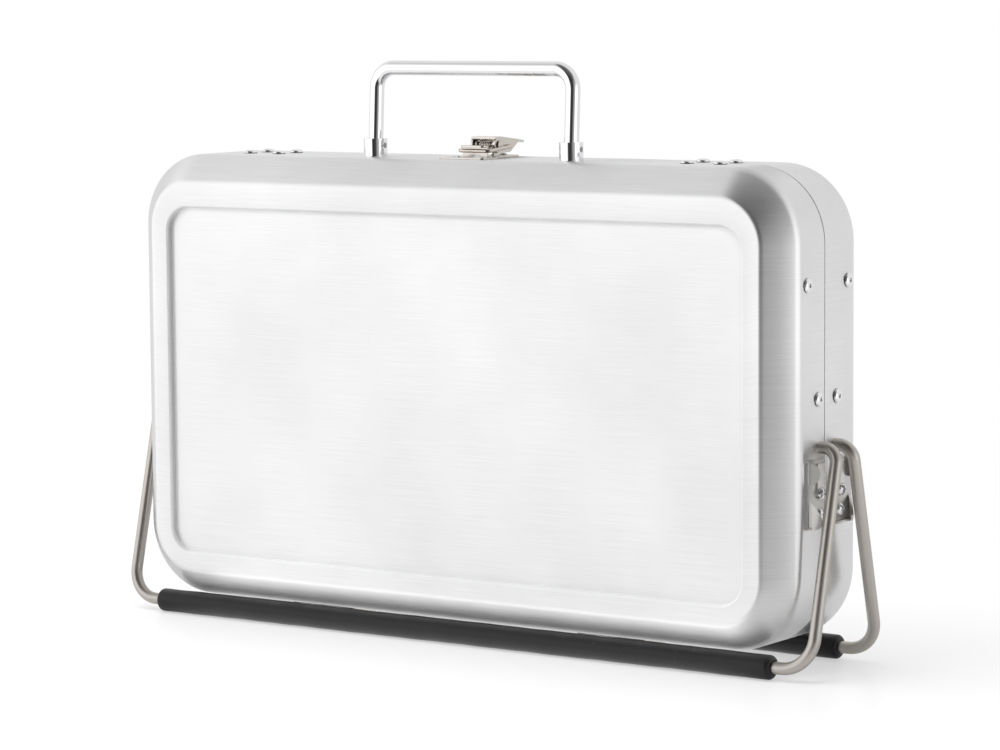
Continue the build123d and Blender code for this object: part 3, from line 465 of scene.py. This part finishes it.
# Painted shade: the colour goes to dark at the rivet's foot and in its bore.
foot_shade = node(tree, "ShaderNodeMapRange", {
    "Value": height_and_radius.outputs["X"], "From Min": 0.0, "From Max": RIVET_FOOT_SHADE_H,
    "To Min": 0.08, "To Max": 1.0,
})
bore_shade = node(tree, "ShaderNodeMapRange", {
    "Value": height_and_radius.outputs["Y"], "From Min": RIVET_DARK_R, "From Max": RIVET_UNSHADED_R,
    "To Min": 0.3, "To Max": 1.0,
})
shade = node(tree, "ShaderNodeMath", {
    0: foot_shade.outputs["Result"], 1: bore_shade.outputs["Result"],
}, operation="MULTIPLY")
shaded(rivet_metal, shade.outputs[0], RIVET_SHADE)
zinc_plate = metal("zinc_plated_screws", (0.82, 0.82, 0.83), 0.18, (300, 300, 300), 0.000002, swing=0.03)


def rivet_places(name):
    """Head centre on the sheet, outward direction and grip of each rivet, from its CAD solid's corners.

    Corners closer than a rivet's size are one rivet. Its axis is X on the side walls and Z elsewhere, and
    points away from the middle of the case.
    """
    mesh = nodes[name].data
    corners = np.empty(len(mesh.vertices) * 3)
    mesh.vertices.foreach_get("co", corners)
    corners = corners.reshape(-1, 3)
    found = []
    while len(corners):
        own = np.linalg.norm(corners - corners[0], axis=1) < 2.6 * RIVET_HEAD_R
        low, high = corners[own].min(axis=0), corners[own].max(axis=0)
        corners = corners[~own]
        middle, size = (low + high) / 2, high - low
        axis = 2 if size[0] > size[2] or abs(size[0] - size[1]) < 1e-5 else 0
        sign = 1.0 if middle[axis] > (CASE_MID_Z if axis == 2 else 0.0) else -1.0
        out = np.zeros(3)
        out[axis] = sign
        tip = middle + out * size[axis] / 2
        found.append((tip - out * RIVET_HEAD_H, out, size[axis] - RIVET_HEAD_H - RIVET_TAIL_H))
    return found


def pop_rivet(name, seat, out, grip, head_h, around=40):
    """Turned profile carried round the rivet's axis: bore, domed head, flange, shank and set tail.

    The dome's height is an ellipse in the radius, falling from the bore's lip to the flange. UV holds each
    point's height over the sheet and its radius.
    """
    lean = np.linspace(math.pi / 2, 0, 11)
    lip_r = RIVET_BORE_R + RIVET_LIP
    dome_r = lip_r + (RIVET_HEAD_R - lip_r) * np.cos(lean)
    dome_h = RIVET_FLANGE_H + (head_h - RIVET_FLANGE_H) * np.sin(lean)
    radius = np.concatenate([
        [0.3 * RIVET_BORE_R, RIVET_BORE_R, RIVET_BORE_R, RIVET_BORE_R + 0.0001], dome_r,
        [RIVET_HEAD_R, RIVET_HEAD_R - 0.0001, RIVET_R, RIVET_R, RIVET_TAIL_R - 0.0004, RIVET_TAIL_R,
         RIVET_TAIL_R, RIVET_TAIL_R - 0.0006, 0.4 * RIVET_TAIL_R],
    ])
    height = np.concatenate([
        [head_h - RIVET_BORE_DEEP] * 2 + [head_h - 0.0003, head_h - 0.0001], dome_h,
        [0.0001, 0.0, 0.0, -grip, -grip, -grip - 0.0005,
         -grip - RIVET_TAIL_H + 0.0006, -grip - RIVET_TAIL_H, -grip - RIVET_TAIL_H],
    ])
    across = np.array((0.0, 1.0, 0.0))
    aside = np.cross(out, across)
    angle = np.linspace(0, 2 * math.pi, around, endpoint=False)[None, :, None]
    spoke = np.cos(angle) * across + np.sin(angle) * aside
    rings = seat + height[:, None, None] * out + radius[:, None, None] * spoke
    uvs = np.broadcast_to(np.stack([height, radius], axis=1)[:, None], (len(radius), around + 1, 2))
    return ring_surface(name, rings, uvs)


def join(name, pieces):
    """One object from several, each still a mesh of its own inside it."""
    together = bmesh.new()
    for piece in pieces:
        together.from_mesh(piece.data)
    mesh = bpy.data.meshes.new(name)
    together.to_mesh(mesh)
    together.free()
    for piece in pieces:
        bpy.data.objects.remove(piece)
    mesh.shade_smooth()
    return linked(name, mesh)


HEAD_HEIGHTS = {"clip_rivets": RIVET_DOME_H, "plate_rivets": RIVET_DOME_H, "hinge_rivets": RIVET_HEAD_H}
for name in HALVES:
    for kind, head_h in HEAD_HEIGHTS.items():
        turned = [
            pop_rivet(f"{name}_{kind}_{i}", seat, out, grip, head_h)
            for i, (seat, out, grip) in enumerate(rivet_places(f"{name}_{kind}"))
        ]
        stand_in_for(join(f"{name}_{kind}_turned", turned), rivet_metal, f"{name}_{kind}")
    eased(f"{name}_bracket_screws", zinc_plate, SCREW_EASE)
    finish_nodes(zinc_plate, f"{name}_bracket_nuts")
finish_nodes(zinc_plate, "collar_nuts", "latch_keeper_rivets", "latch_base_rivets")


# Each leg is one nickel plated rod bent to a U. Its ends turn in the side walls, its arms spring over the
# bracket tabs, and a rubber tube covers the straight foot. Dust lies on the tube in specks, and a band near
# its top is lighter, partly dust and partly painted sheen.
LEG_ROD_R = 0.00325
LEG_TOP_BEND_R = 0.008
LEG_FOOT_BEND_R = 0.017
LEG_BENDS = (LEG_TOP_BEND_R, LEG_FOOT_BEND_R, LEG_FOOT_BEND_R, LEG_TOP_BEND_R)
LEG_PIVOT_Y = 0.0077
LEG_PIVOT_Z = 0.1174
LEG_END_LENGTH = 0.0162
FOOT_Y = 0.035
ROD_END_R = 0.0006
SLEEVE_END_R = 0.0026
SLEEVE_DENT = 0.00005
DUST_AND_SHEEN_BAND_AT = 0.0115
DUST_AND_SHEEN_BAND_FROM = 0.001
DUST_AND_SHEEN_BAND_BY = 0.005


def bent_path(corners, radii, steps=18):
    """Straight runs joined by arcs, each touching its runs at radius * tan(half turn) from the corner."""
    corners = np.asarray(corners, float)
    parts = [corners[:1]]
    for before, corner, after, radius in zip(corners, corners[1:], corners[2:], radii):
        a = (before - corner) / np.linalg.norm(before - corner)
        b = (after - corner) / np.linalg.norm(after - corner)
        half_turn = (math.pi - math.acos(np.clip(a @ b, -1, 1))) / 2
        middle = (a + b) / np.linalg.norm(a + b)
        centre = corner + middle * radius / math.cos(half_turn)
        start = corner + a * radius * math.tan(half_turn)
        spoke = (start - centre) / radius
        turn = np.linspace(0, 2 * half_turn, steps)[:, None]
        parts.append(centre + radius * (spoke * np.cos(turn) - a * np.sin(turn)))
    parts.append(corners[-1:])
    return np.concatenate(parts)


def mirrored(points):
    """The points in reverse, mirrored about X = 0."""
    return [(-x, y, z) for x, y, z in reversed(points)]


def rod(name, path, radius, across, end_r, around=40, end_steps=7):
    """Round rod along a path that lies in one plane, whose normal is across, with its end edges rounded.

    Each ring is the path's point plus radius times (cos a * across + sin a * cross direction). UV runs in
    metres along the rod and round it.
    """
    ahead = np.gradient(path, axis=0)
    ahead /= np.linalg.norm(ahead, axis=1)[:, None]
    lean = np.linspace(0.15, math.pi / 2, end_steps)
    sizes = radius - end_r + end_r * np.sin(lean)
    into = end_r * (1 - np.cos(lean))
    start = path[0] + ahead[0] * into[:, None]
    end = path[-1] - ahead[-1] * into[::-1, None]
    path = np.concatenate([start, path[1:-1], end])
    ahead = np.concatenate([
        np.repeat(ahead[:1], end_steps, axis=0), ahead[1:-1], np.repeat(ahead[-1:], end_steps, axis=0),
    ])
    sizes = np.concatenate([sizes, np.full(len(path) - 2 * end_steps, radius), sizes[::-1]])
    across = np.asarray(across, float) / np.linalg.norm(across)
    aside = np.cross(ahead, across)
    angle = np.linspace(0, 2 * math.pi, around, endpoint=False)[None, :, None]
    rings = path[:, None] + sizes[:, None, None] * (np.cos(angle) * across + np.sin(angle) * aside[:, None])
    length = np.cumsum(np.linalg.norm(np.diff(path, axis=0, prepend=path[:1]), axis=1))
    round_it = np.linspace(0, 2 * math.pi * radius, around + 1)
    uvs = np.stack(np.broadcast_arrays(length[:, None], round_it[None]), axis=2)
    return ring_surface(name, rings[:, ::-1], uvs[:, ::-1])


nickel_wire = metal("nickel_plated_rod", (0.54, 0.508, 0.468), 0.36, (25, 1500, 1), 0.000004,
                    uv="sheet", swing=0.10)
rubber = bpy.data.materials.new("black_foam_rubber")
rubber.use_nodes = True
tree = rubber.node_tree
shader = tree.nodes["Principled BSDF"]
shader.inputs["Specular IOR Level"].default_value = 0.3
place = node(tree, "ShaderNodeTexCoord").outputs["Object"]
pores = node(tree, "ShaderNodeTexNoise", {"Vector": place, "Scale": 900.0, "Detail": 4.0, "Roughness": 0.7})
dust = node(tree, "ShaderNodeTexVoronoi", {"Vector": place, "Scale": 350.0, "Randomness": 1.0})
speck = node(tree, "ShaderNodeMapRange", {
    "Value": dust.outputs["Distance"], "From Min": 0.05, "From Max": 0.16, "To Min": 0.5, "To Max": 0.0,
})
patchy = node(tree, "ShaderNodeTexNoise", {"Vector": place, "Scale": 120.0, "Detail": 2.0})
some = node(tree, "ShaderNodeMapRange", {"Value": patchy.outputs["Fac"], "From Min": 0.58, "From Max": 0.7})
specks = node(tree, "ShaderNodeMath", {
    0: speck.outputs["Result"], 1: some.outputs["Result"],
}, operation="MULTIPLY")
round_it = node(tree, "ShaderNodeSeparateXYZ", {
    0: node(tree, "ShaderNodeUVMap", uv_map="sheet").outputs["UV"],
})
# The band near the tube's top is lighter: partly dust, partly painted sheen.
off_band = node(tree, "ShaderNodeMath", {0: round_it.outputs["Y"], 1: DUST_AND_SHEEN_BAND_AT}, operation="SUBTRACT")
off_band = node(tree, "ShaderNodeMath", {0: off_band.outputs[0]}, operation="ABSOLUTE")
settled_dust_and_sheen = node(tree, "ShaderNodeMapRange", {
    "Value": off_band.outputs[0], "From Min": DUST_AND_SHEEN_BAND_FROM, "From Max": DUST_AND_SHEEN_BAND_BY,
    "To Min": 0.30, "To Max": 0.0,
}, interpolation_type="SMOOTHSTEP")
band_dust_and_sheen = node(tree, "ShaderNodeMath", {
    0: settled_dust_and_sheen.outputs["Result"], 1: patchy.outputs["Fac"],
}, operation="MULTIPLY")
dust_and_sheen = node(tree, "ShaderNodeMath", {0: specks.outputs[0], 1: band_dust_and_sheen.outputs[0]}, operation="ADD")
tone = node(tree, "ShaderNodeValToRGB", {"Fac": dust_and_sheen.outputs[0]})
tone.color_ramp.elements[0].color = (0.012, 0.012, 0.013, 1)
tone.color_ramp.elements[1].color = (0.16, 0.16, 0.15, 1)
tree.links.new(tone.outputs["Color"], shader.inputs["Base Color"])
rough = node(tree, "ShaderNodeMapRange", {"Value": pores.outputs["Fac"], "To Min": 0.28, "To Max": 0.42})
tree.links.new(rough.outputs["Result"], shader.inputs["Roughness"])
bump = node(tree, "ShaderNodeBump", {"Height": pores.outputs["Fac"], "Strength": 1.0, "Distance": 0.00004})
tree.links.new(bump.outputs["Normal"], shader.inputs["Normal"])


def rubber_tube(name, low, high, around=56):
    """Rubber tube round the foot: the CAD sleeve's radius, rounded at the ends, a little uneven.

    The unevenness is the sum of three slow sines along the tube and round it, less 3, times a small dent,
    so that it never stands proud. It fades out towards the tube's bore.
    """
    radius = (high.z - low.z) / 2
    lean = np.linspace(0, math.pi / 2, 9)
    cap_x = SLEEVE_END_R * (1 - np.cos(lean))
    cap_r = radius - SLEEVE_END_R * (1 - np.sin(lean))
    face_r = np.array([LEG_ROD_R - 0.0003, LEG_ROD_R + 0.0001, LEG_ROD_R + 0.0004])
    face_x = np.array([0.0012, 0.0012, 0.0])
    run = np.linspace(low.x + SLEEVE_END_R, high.x - SLEEVE_END_R, 90)[1:-1]
    x = np.concatenate([low.x + face_x, low.x + cap_x, run, high.x - cap_x[::-1], high.x - face_x[::-1]])
    r = np.concatenate([face_r, cap_r, np.full(len(run), radius), cap_r[::-1], face_r[::-1]])
    angle = np.linspace(0, 2 * math.pi, around, endpoint=False)
    along = x[:, None]
    wave = np.sin(along * 47 + angle) + np.sin(along * 131 - 2 * angle + 1) + np.sin(along * 290 + 2)
    dent = SLEEVE_DENT * np.clip((r / radius - 0.6) / 0.3, 0, 1)[:, None] * (wave - 3)
    y = (low.y + high.y) / 2 + (r[:, None] + dent) * np.cos(angle)
    z = (low.z + high.z) / 2 + (r[:, None] + dent) * np.sin(angle)
    rings = np.stack([np.broadcast_to(along, y.shape), y, z], axis=2)
    round_it = np.linspace(0, 2 * math.pi * radius, around + 1)
    uvs = np.stack(np.broadcast_arrays(along, round_it[None]), axis=2)
    return ring_surface(name, rings, uvs)


for name, side in HALVES.items():
    low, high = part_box(f"{name}_leg_rod")
    sleeve_low, sleeve_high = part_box(f"{name}_leg_sleeve")
    arm_x = high.x - LEG_ROD_R
    foot_z = (sleeve_low.z + sleeve_high.z) / 2
    end_x = arm_x - LEG_END_LENGTH
    pivot = [(end_x, side * LEG_PIVOT_Y, LEG_PIVOT_Z), (arm_x, side * LEG_PIVOT_Y, LEG_PIVOT_Z)]
    right = pivot + [(arm_x, side * FOOT_Y, foot_z)]
    path = bent_path(right + mirrored(right), LEG_BENDS)
    down = np.array(right[2]) - np.array(right[1])
    leg = rod(f"{name}_leg", path, LEG_ROD_R, np.cross((1, 0, 0), down), ROD_END_R)
    leg.data.materials.append(nickel_wire)
    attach(leg, f"{name}_leg")
    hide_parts(f"{name}_leg_rod")
    sleeve = rubber_tube(f"{name}_sleeve_tube", sleeve_low, sleeve_high)
    stand_in_for(sleeve, rubber, f"{name}_leg_sleeve")


# The leg brackets and the hinges are pressed from nickel plated sheet, and the hinge leaves roll round
# plain wire pins. The brackets are a little duller than the rest, lighter in colour as painted light, and
# darker next to the wall as painted shade.
BRACKET_DARK_X = 0.2137
BRACKET_UNSHADED_X = 0.2152
BRACKET_SHADE = (0.34, 0.34, 0.34)
BRACKET_EASE = 0.0002
HINGE_EASE = 0.00015
# The bracket sheet is lighter than the other nickel sheet: painted light.
bracket_sheet = metal("dull_nickel_bracket_sheet_painted_light_and_shade", (0.84, 0.82, 0.79), 0.34, (60, 60, 60), 0.00001)
tree = bracket_sheet.node_tree
# Painted shade: the bracket's colour darkens close to the side wall.
from_middle = node(tree, "ShaderNodeMath", {
    0: node(tree, "ShaderNodeSeparateXYZ", {
        0: node(tree, "ShaderNodeTexCoord").outputs["Object"],
    }).outputs["X"],
}, operation="ABSOLUTE")
wall_shade = node(tree, "ShaderNodeMapRange", {
    "Value": from_middle.outputs[0], "From Min": BRACKET_DARK_X, "From Max": BRACKET_UNSHADED_X,
    "To Min": 0.55, "To Max": 1.0,
})
shaded(bracket_sheet, wall_shade.outputs["Result"], BRACKET_SHADE)
nickel_sheet = metal("nickel_plated_sheet", (0.66, 0.625, 0.58), 0.22, (60, 60, 60), 0.000008)
nickel_pins = metal("nickel_plated_wire", (0.66, 0.61, 0.56), 0.16, (80, 80, 80), 0.000008)
for name in HALVES:
    eased(f"{name}_leg_brackets", bracket_sheet, BRACKET_EASE)
    eased(f"{name}_hinge_leaves", nickel_sheet, HINGE_EASE)
finish_nodes(nickel_pins, "hinge_pins")


# The toggle latch is a riveted base with a spring loaded lever, whose wire bail pulls on the keeper's lip.
# All of it is nickel plated, the sheet pieces with tumbled edges.
BAIL_WIRE_R = 0.001
BAIL_BEND_R = 0.003
BAIL_END_BEND_R = 0.0015
BAIL_BENDS = (BAIL_END_BEND_R, BAIL_BEND_R, BAIL_BEND_R, BAIL_END_BEND_R)
BAIL_END_X = 0.006
BAIL_END_R = 0.0003
LATCH_EASE = 0.00018
for name in ("latch_keeper", "latch_base", "latch_lever"):
    eased(name, nickel_sheet, LATCH_EASE)
finish_nodes(nickel_pins, "lever_pin", "latch_spring")
low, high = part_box("latch_bail")
arm_x = high.x - BAIL_WIRE_R
bar = (arm_x, low.y + BAIL_WIRE_R, low.z + BAIL_WIRE_R)
hole = (arm_x, high.y - BAIL_WIRE_R, high.z - BAIL_WIRE_R)
right = [bar, hole, (BAIL_END_X, hole[1], hole[2])]
path = bent_path(mirrored(right) + right, BAIL_BENDS)
along_arm = np.array(hole) - np.array(bar)
bail = rod("bail_wire", path, BAIL_WIRE_R, np.cross((1, 0, 0), along_arm), BAIL_END_R, around=28)
stand_in_for(bail, nickel_pins, "latch_bail")


# The carrying handle is a polished chrome rod bent square, whose ball ends turn on pins in two collars.
HANDLE_ROD_R = 0.004
HANDLE_BEND_R = 0.011
HANDLE_END_R = HANDLE_ROD_R * 0.98
COLLAR_EASE = 0.0003
polished_chrome = metal("polished_chrome", (0.90, 0.90, 0.915), 0.03, (25, 25, 25), 0.000001, swing=0.02)
pin_metal = metal("dark_collar_pins", (0.30, 0.30, 0.31), 0.30, (80, 80, 80), 0.000004, swing=0.1)
eased("handle_collars", polished_chrome, COLLAR_EASE)
finish_nodes(pin_metal, "collar_pins")
low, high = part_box("handle")
grip_z = high.z - HANDLE_ROD_R
grip_y = high.y - HANDLE_ROD_R
foot = (high.x - HANDLE_ROD_R, low.y + HANDLE_ROD_R, low.z)
shoulder = (foot[0], grip_y, grip_z)
right = [shoulder, foot]
path = bent_path(mirrored(right) + right, (HANDLE_BEND_R, HANDLE_BEND_R), steps=24)
lean = np.array(shoulder) - np.array(foot)
handle = rod("handle_rod", path, HANDLE_ROD_R, np.cross((1, 0, 0), lean), HANDLE_END_R,
             around=48, end_steps=12)
stand_in_for(handle, polished_chrome, "handle")


# The world is the studio seen in the metal: bright on the left, behind and on the right, dark behind the
# camera and high in front. The pale floor partly glows and goes over into it away from the grill. Its glow
# is painted light: a bright strip along the case, seen in the metal, and painted shade between the feet. To
# the camera, studio and strip are plain white.
def studio_light(tree, toward):
    """Brightness of the studio in a direction: smooth steps along x, y and z, added up."""
    parts = node(tree, "ShaderNodeSeparateXYZ", {0: toward})
    x, y, z = (parts.outputs[axis] for axis in "XYZ")

    def fade(value, start, end, low, high):
        return node(tree, "ShaderNodeMapRange", {
            "Value": value, "From Min": start, "From Max": end, "To Min": low, "To Max": high,
        }, interpolation_type="SMOOTHSTEP").outputs["Result"]

    def combine(operation, a, b):
        return node(tree, "ShaderNodeMath", {0: a, 1: b}, operation=operation).outputs[0]

    leaning = combine("ADD", x, combine("MULTIPLY", combine("MAXIMUM", z, 0.0), 0.45))
    left_box = combine("MULTIPLY", fade(leaning, -0.12, 0.10, 1.23, 0.0), fade(z, 0.40, 0.92, 1.0, 0.27))
    right_box = combine("ADD", fade(x, 0.50, 1.0, 0.0, 0.48), fade(x, 0.90, 0.99, 0.0, 1.05))
    overhead = fade(z, 0.45, 0.85, 0.04, 0.12)
    front = combine("ADD", combine("ADD", left_box, right_box), overhead)
    behind = fade(y, -0.35, 0.2, 0.0, 1.0)
    kept = combine("SUBTRACT", 1.0, behind)
    back_wall = combine("ADD", fade(x, 0.90, 0.99, 0.0, 0.58), 0.81)
    return combine("ADD", combine("MULTIPLY", front, kept), combine("MULTIPLY", behind, back_wall))


def white_to_the_camera(tree, strength):
    """The strength as it is for every ray but the camera's own, which sees plain white."""
    seen = node(tree, "ShaderNodeLightPath").outputs["Is Camera Ray"]
    return node(tree, "ShaderNodeMix", {"Factor": seen, "A": strength, "B": 1.0}).outputs["Result"]


world = bpy.data.worlds.new("white_studio")
world.use_nodes = True
bpy.context.scene.world = world
tree = world.node_tree
background = tree.nodes["Background"]
all_round = node(tree, "ShaderNodeTexCoord").outputs["Generated"]
tree.links.new(white_to_the_camera(tree, studio_light(tree, all_round)), background.inputs["Strength"])
background.inputs["Color"].default_value = (1.0, 1.0, 1.0, 1.0)

FLOOR_HALF = 60.0
FLOOR_WHITE_FROM = 0.25
FLOOR_WHITE_BY = 0.95
FLOOR_WHITE_LEAST = 0.50
STUDIO_FROM = 0.35
STUDIO_BY = 0.9
NEAR_STRENGTH = 0.58
STRIP_STRENGTH = 2.1
STRIP_HALF_X = 0.11
STRIP_FROM = 0.047
STRIP_BY = 0.095
FEET_SHADE = 0.6
FEET_SHADE_FROM = 0.012
FEET_SHADE_BY = 0.034
floor_points = np.array([(-1, -1, 0), (1, -1, 0), (1, 1, 0), (-1, 1, 0)], float) * FLOOR_HALF
floor = mesh_object("floor", floor_points, [[0, 1, 2, 3]])
paper = bpy.data.materials.new("white_paper")
paper.use_nodes = True
tree = paper.node_tree
shader = tree.nodes["Principled BSDF"]
shader.inputs["Roughness"].default_value = 0.32
shader.inputs["Specular IOR Level"].default_value = 0.3
place = node(tree, "ShaderNodeTexCoord").outputs["Object"]
grain = node(tree, "ShaderNodeTexNoise", {"Vector": place, "Scale": 3.0})
tone = node(tree, "ShaderNodeValToRGB", {"Fac": grain.outputs["Fac"]})
tone.color_ramp.elements[0].color = (0.89, 0.89, 0.895, 1)
tone.color_ramp.elements[1].color = (0.91, 0.91, 0.91, 1)
tree.links.new(tone.outputs["Color"], shader.inputs["Base Color"])
away = node(tree, "ShaderNodeVectorMath", {0: place}, operation="LENGTH")
whiter = node(tree, "ShaderNodeMapRange", {
    "Value": away.outputs["Value"], "From Min": FLOOR_WHITE_FROM, "From Max": FLOOR_WHITE_BY,
    "To Min": FLOOR_WHITE_LEAST, "To Max": 1.0,
}, interpolation_type="SMOOTHSTEP")
outward = node(tree, "ShaderNodeVectorMath", {0: place}, operation="NORMALIZE")
further = node(tree, "ShaderNodeMapRange", {
    "Value": away.outputs["Value"], "From Min": STUDIO_FROM, "From Max": STUDIO_BY,
}, interpolation_type="SMOOTHSTEP")
spot = node(tree, "ShaderNodeSeparateXYZ", {0: place})
off_y = node(tree, "ShaderNodeMath", {0: spot.outputs["Y"]}, operation="ABSOLUTE")
off_x = node(tree, "ShaderNodeMath", {0: spot.outputs["X"]}, operation="ABSOLUTE")
past_x = node(tree, "ShaderNodeMath", {0: off_x.outputs[0], 1: STRIP_HALF_X}, operation="SUBTRACT")
off_strip = node(tree, "ShaderNodeMath", {0: off_y.outputs[0], 1: past_x.outputs[0]}, operation="MAXIMUM")
# Painted light and shade in the floor's glow: a bright strip along the case, dimmer between the feet.
painted_strip_light = node(tree, "ShaderNodeMapRange", {
    "Value": off_strip.outputs[0], "From Min": STRIP_FROM, "From Max": STRIP_BY,
    "To Min": STRIP_STRENGTH, "To Max": NEAR_STRENGTH,
}, interpolation_type="SMOOTHSTEP")
painted_feet_shade = node(tree, "ShaderNodeMapRange", {
    "Value": off_y.outputs[0], "From Min": FEET_SHADE_FROM, "From Max": FEET_SHADE_BY,
    "To Min": FEET_SHADE, "To Max": 1.0,
}, interpolation_type="SMOOTHSTEP")
near_strength = node(tree, "ShaderNodeMath", {
    0: painted_strip_light.outputs["Result"], 1: painted_feet_shade.outputs["Result"],
}, operation="MULTIPLY")
near_or_far = node(tree, "ShaderNodeMix", {
    "Factor": further.outputs["Result"], "A": near_strength.outputs[0],
    "B": studio_light(tree, outward.outputs["Vector"]),
})
painted_floor_glow = node(tree, "ShaderNodeEmission", {
    "Strength": white_to_the_camera(tree, near_or_far.outputs["Result"]),
})
paper_or_white = node(tree, "ShaderNodeMixShader", {
    0: whiter.outputs["Result"], 1: shader.outputs["BSDF"], 2: painted_floor_glow.outputs["Emission"],
})
tree.links.new(paper_or_white.outputs["Shader"], tree.nodes["Material Output"].inputs["Surface"])
floor.data.materials.append(paper)


# One large soft lamp hangs high on the left for the floor and the rubber, out of the metal's reflections.
# The camera stands right of the middle, a little above the case.
lamp_data = bpy.data.lights.new("left_softbox", "AREA")
lamp_data.energy = 30.0
lamp_data.shape = "RECTANGLE"
lamp_data.size = 1.6
lamp_data.size_y = 1.6
lamp = linked("left_softbox", lamp_data)
lamp.location = (-0.35, -0.45, 1.6)
lamp.rotation_euler = (math.radians(19), 0, math.radians(-38))
lamp.visible_glossy = False

CAMERA_PLACE = (1.12523, -1.62987, 0.35064)
CAMERA_YAW = -34.392
CAMERA_PITCH = -5.998
CAMERA_ROLL = -0.439
FOCAL_PIXELS = 3662.34
IMAGE_WIDTH = 1000
SENSOR_WIDTH = 36.0
yaw, pitch, roll = (math.radians(angle) for angle in (CAMERA_YAW, CAMERA_PITCH, CAMERA_ROLL))
forward = np.array([math.sin(yaw) * math.cos(pitch), math.cos(yaw) * math.cos(pitch), math.sin(pitch)])
right = np.array([math.cos(yaw), -math.sin(yaw), 0.0])
up = np.cross(right, forward)
rolled_right = math.cos(roll) * right + math.sin(roll) * up
rolled_up = -math.sin(roll) * right + math.cos(roll) * up
turn = np.eye(4)
turn[:3, :3] = np.stack([rolled_right, rolled_up, -forward], axis=1)
turn[:3, 3] = CAMERA_PLACE
camera_data = bpy.data.cameras.new("photo_camera")
camera_data.sensor_width = SENSOR_WIDTH
camera_data.lens = FOCAL_PIXELS / IMAGE_WIDTH * SENSOR_WIDTH
camera = linked("photo_camera", camera_data)
camera.matrix_world = turn.T.tolist()
bpy.context.scene.camera = camera
bpy.context.scene.view_settings.view_transform = "Standard"
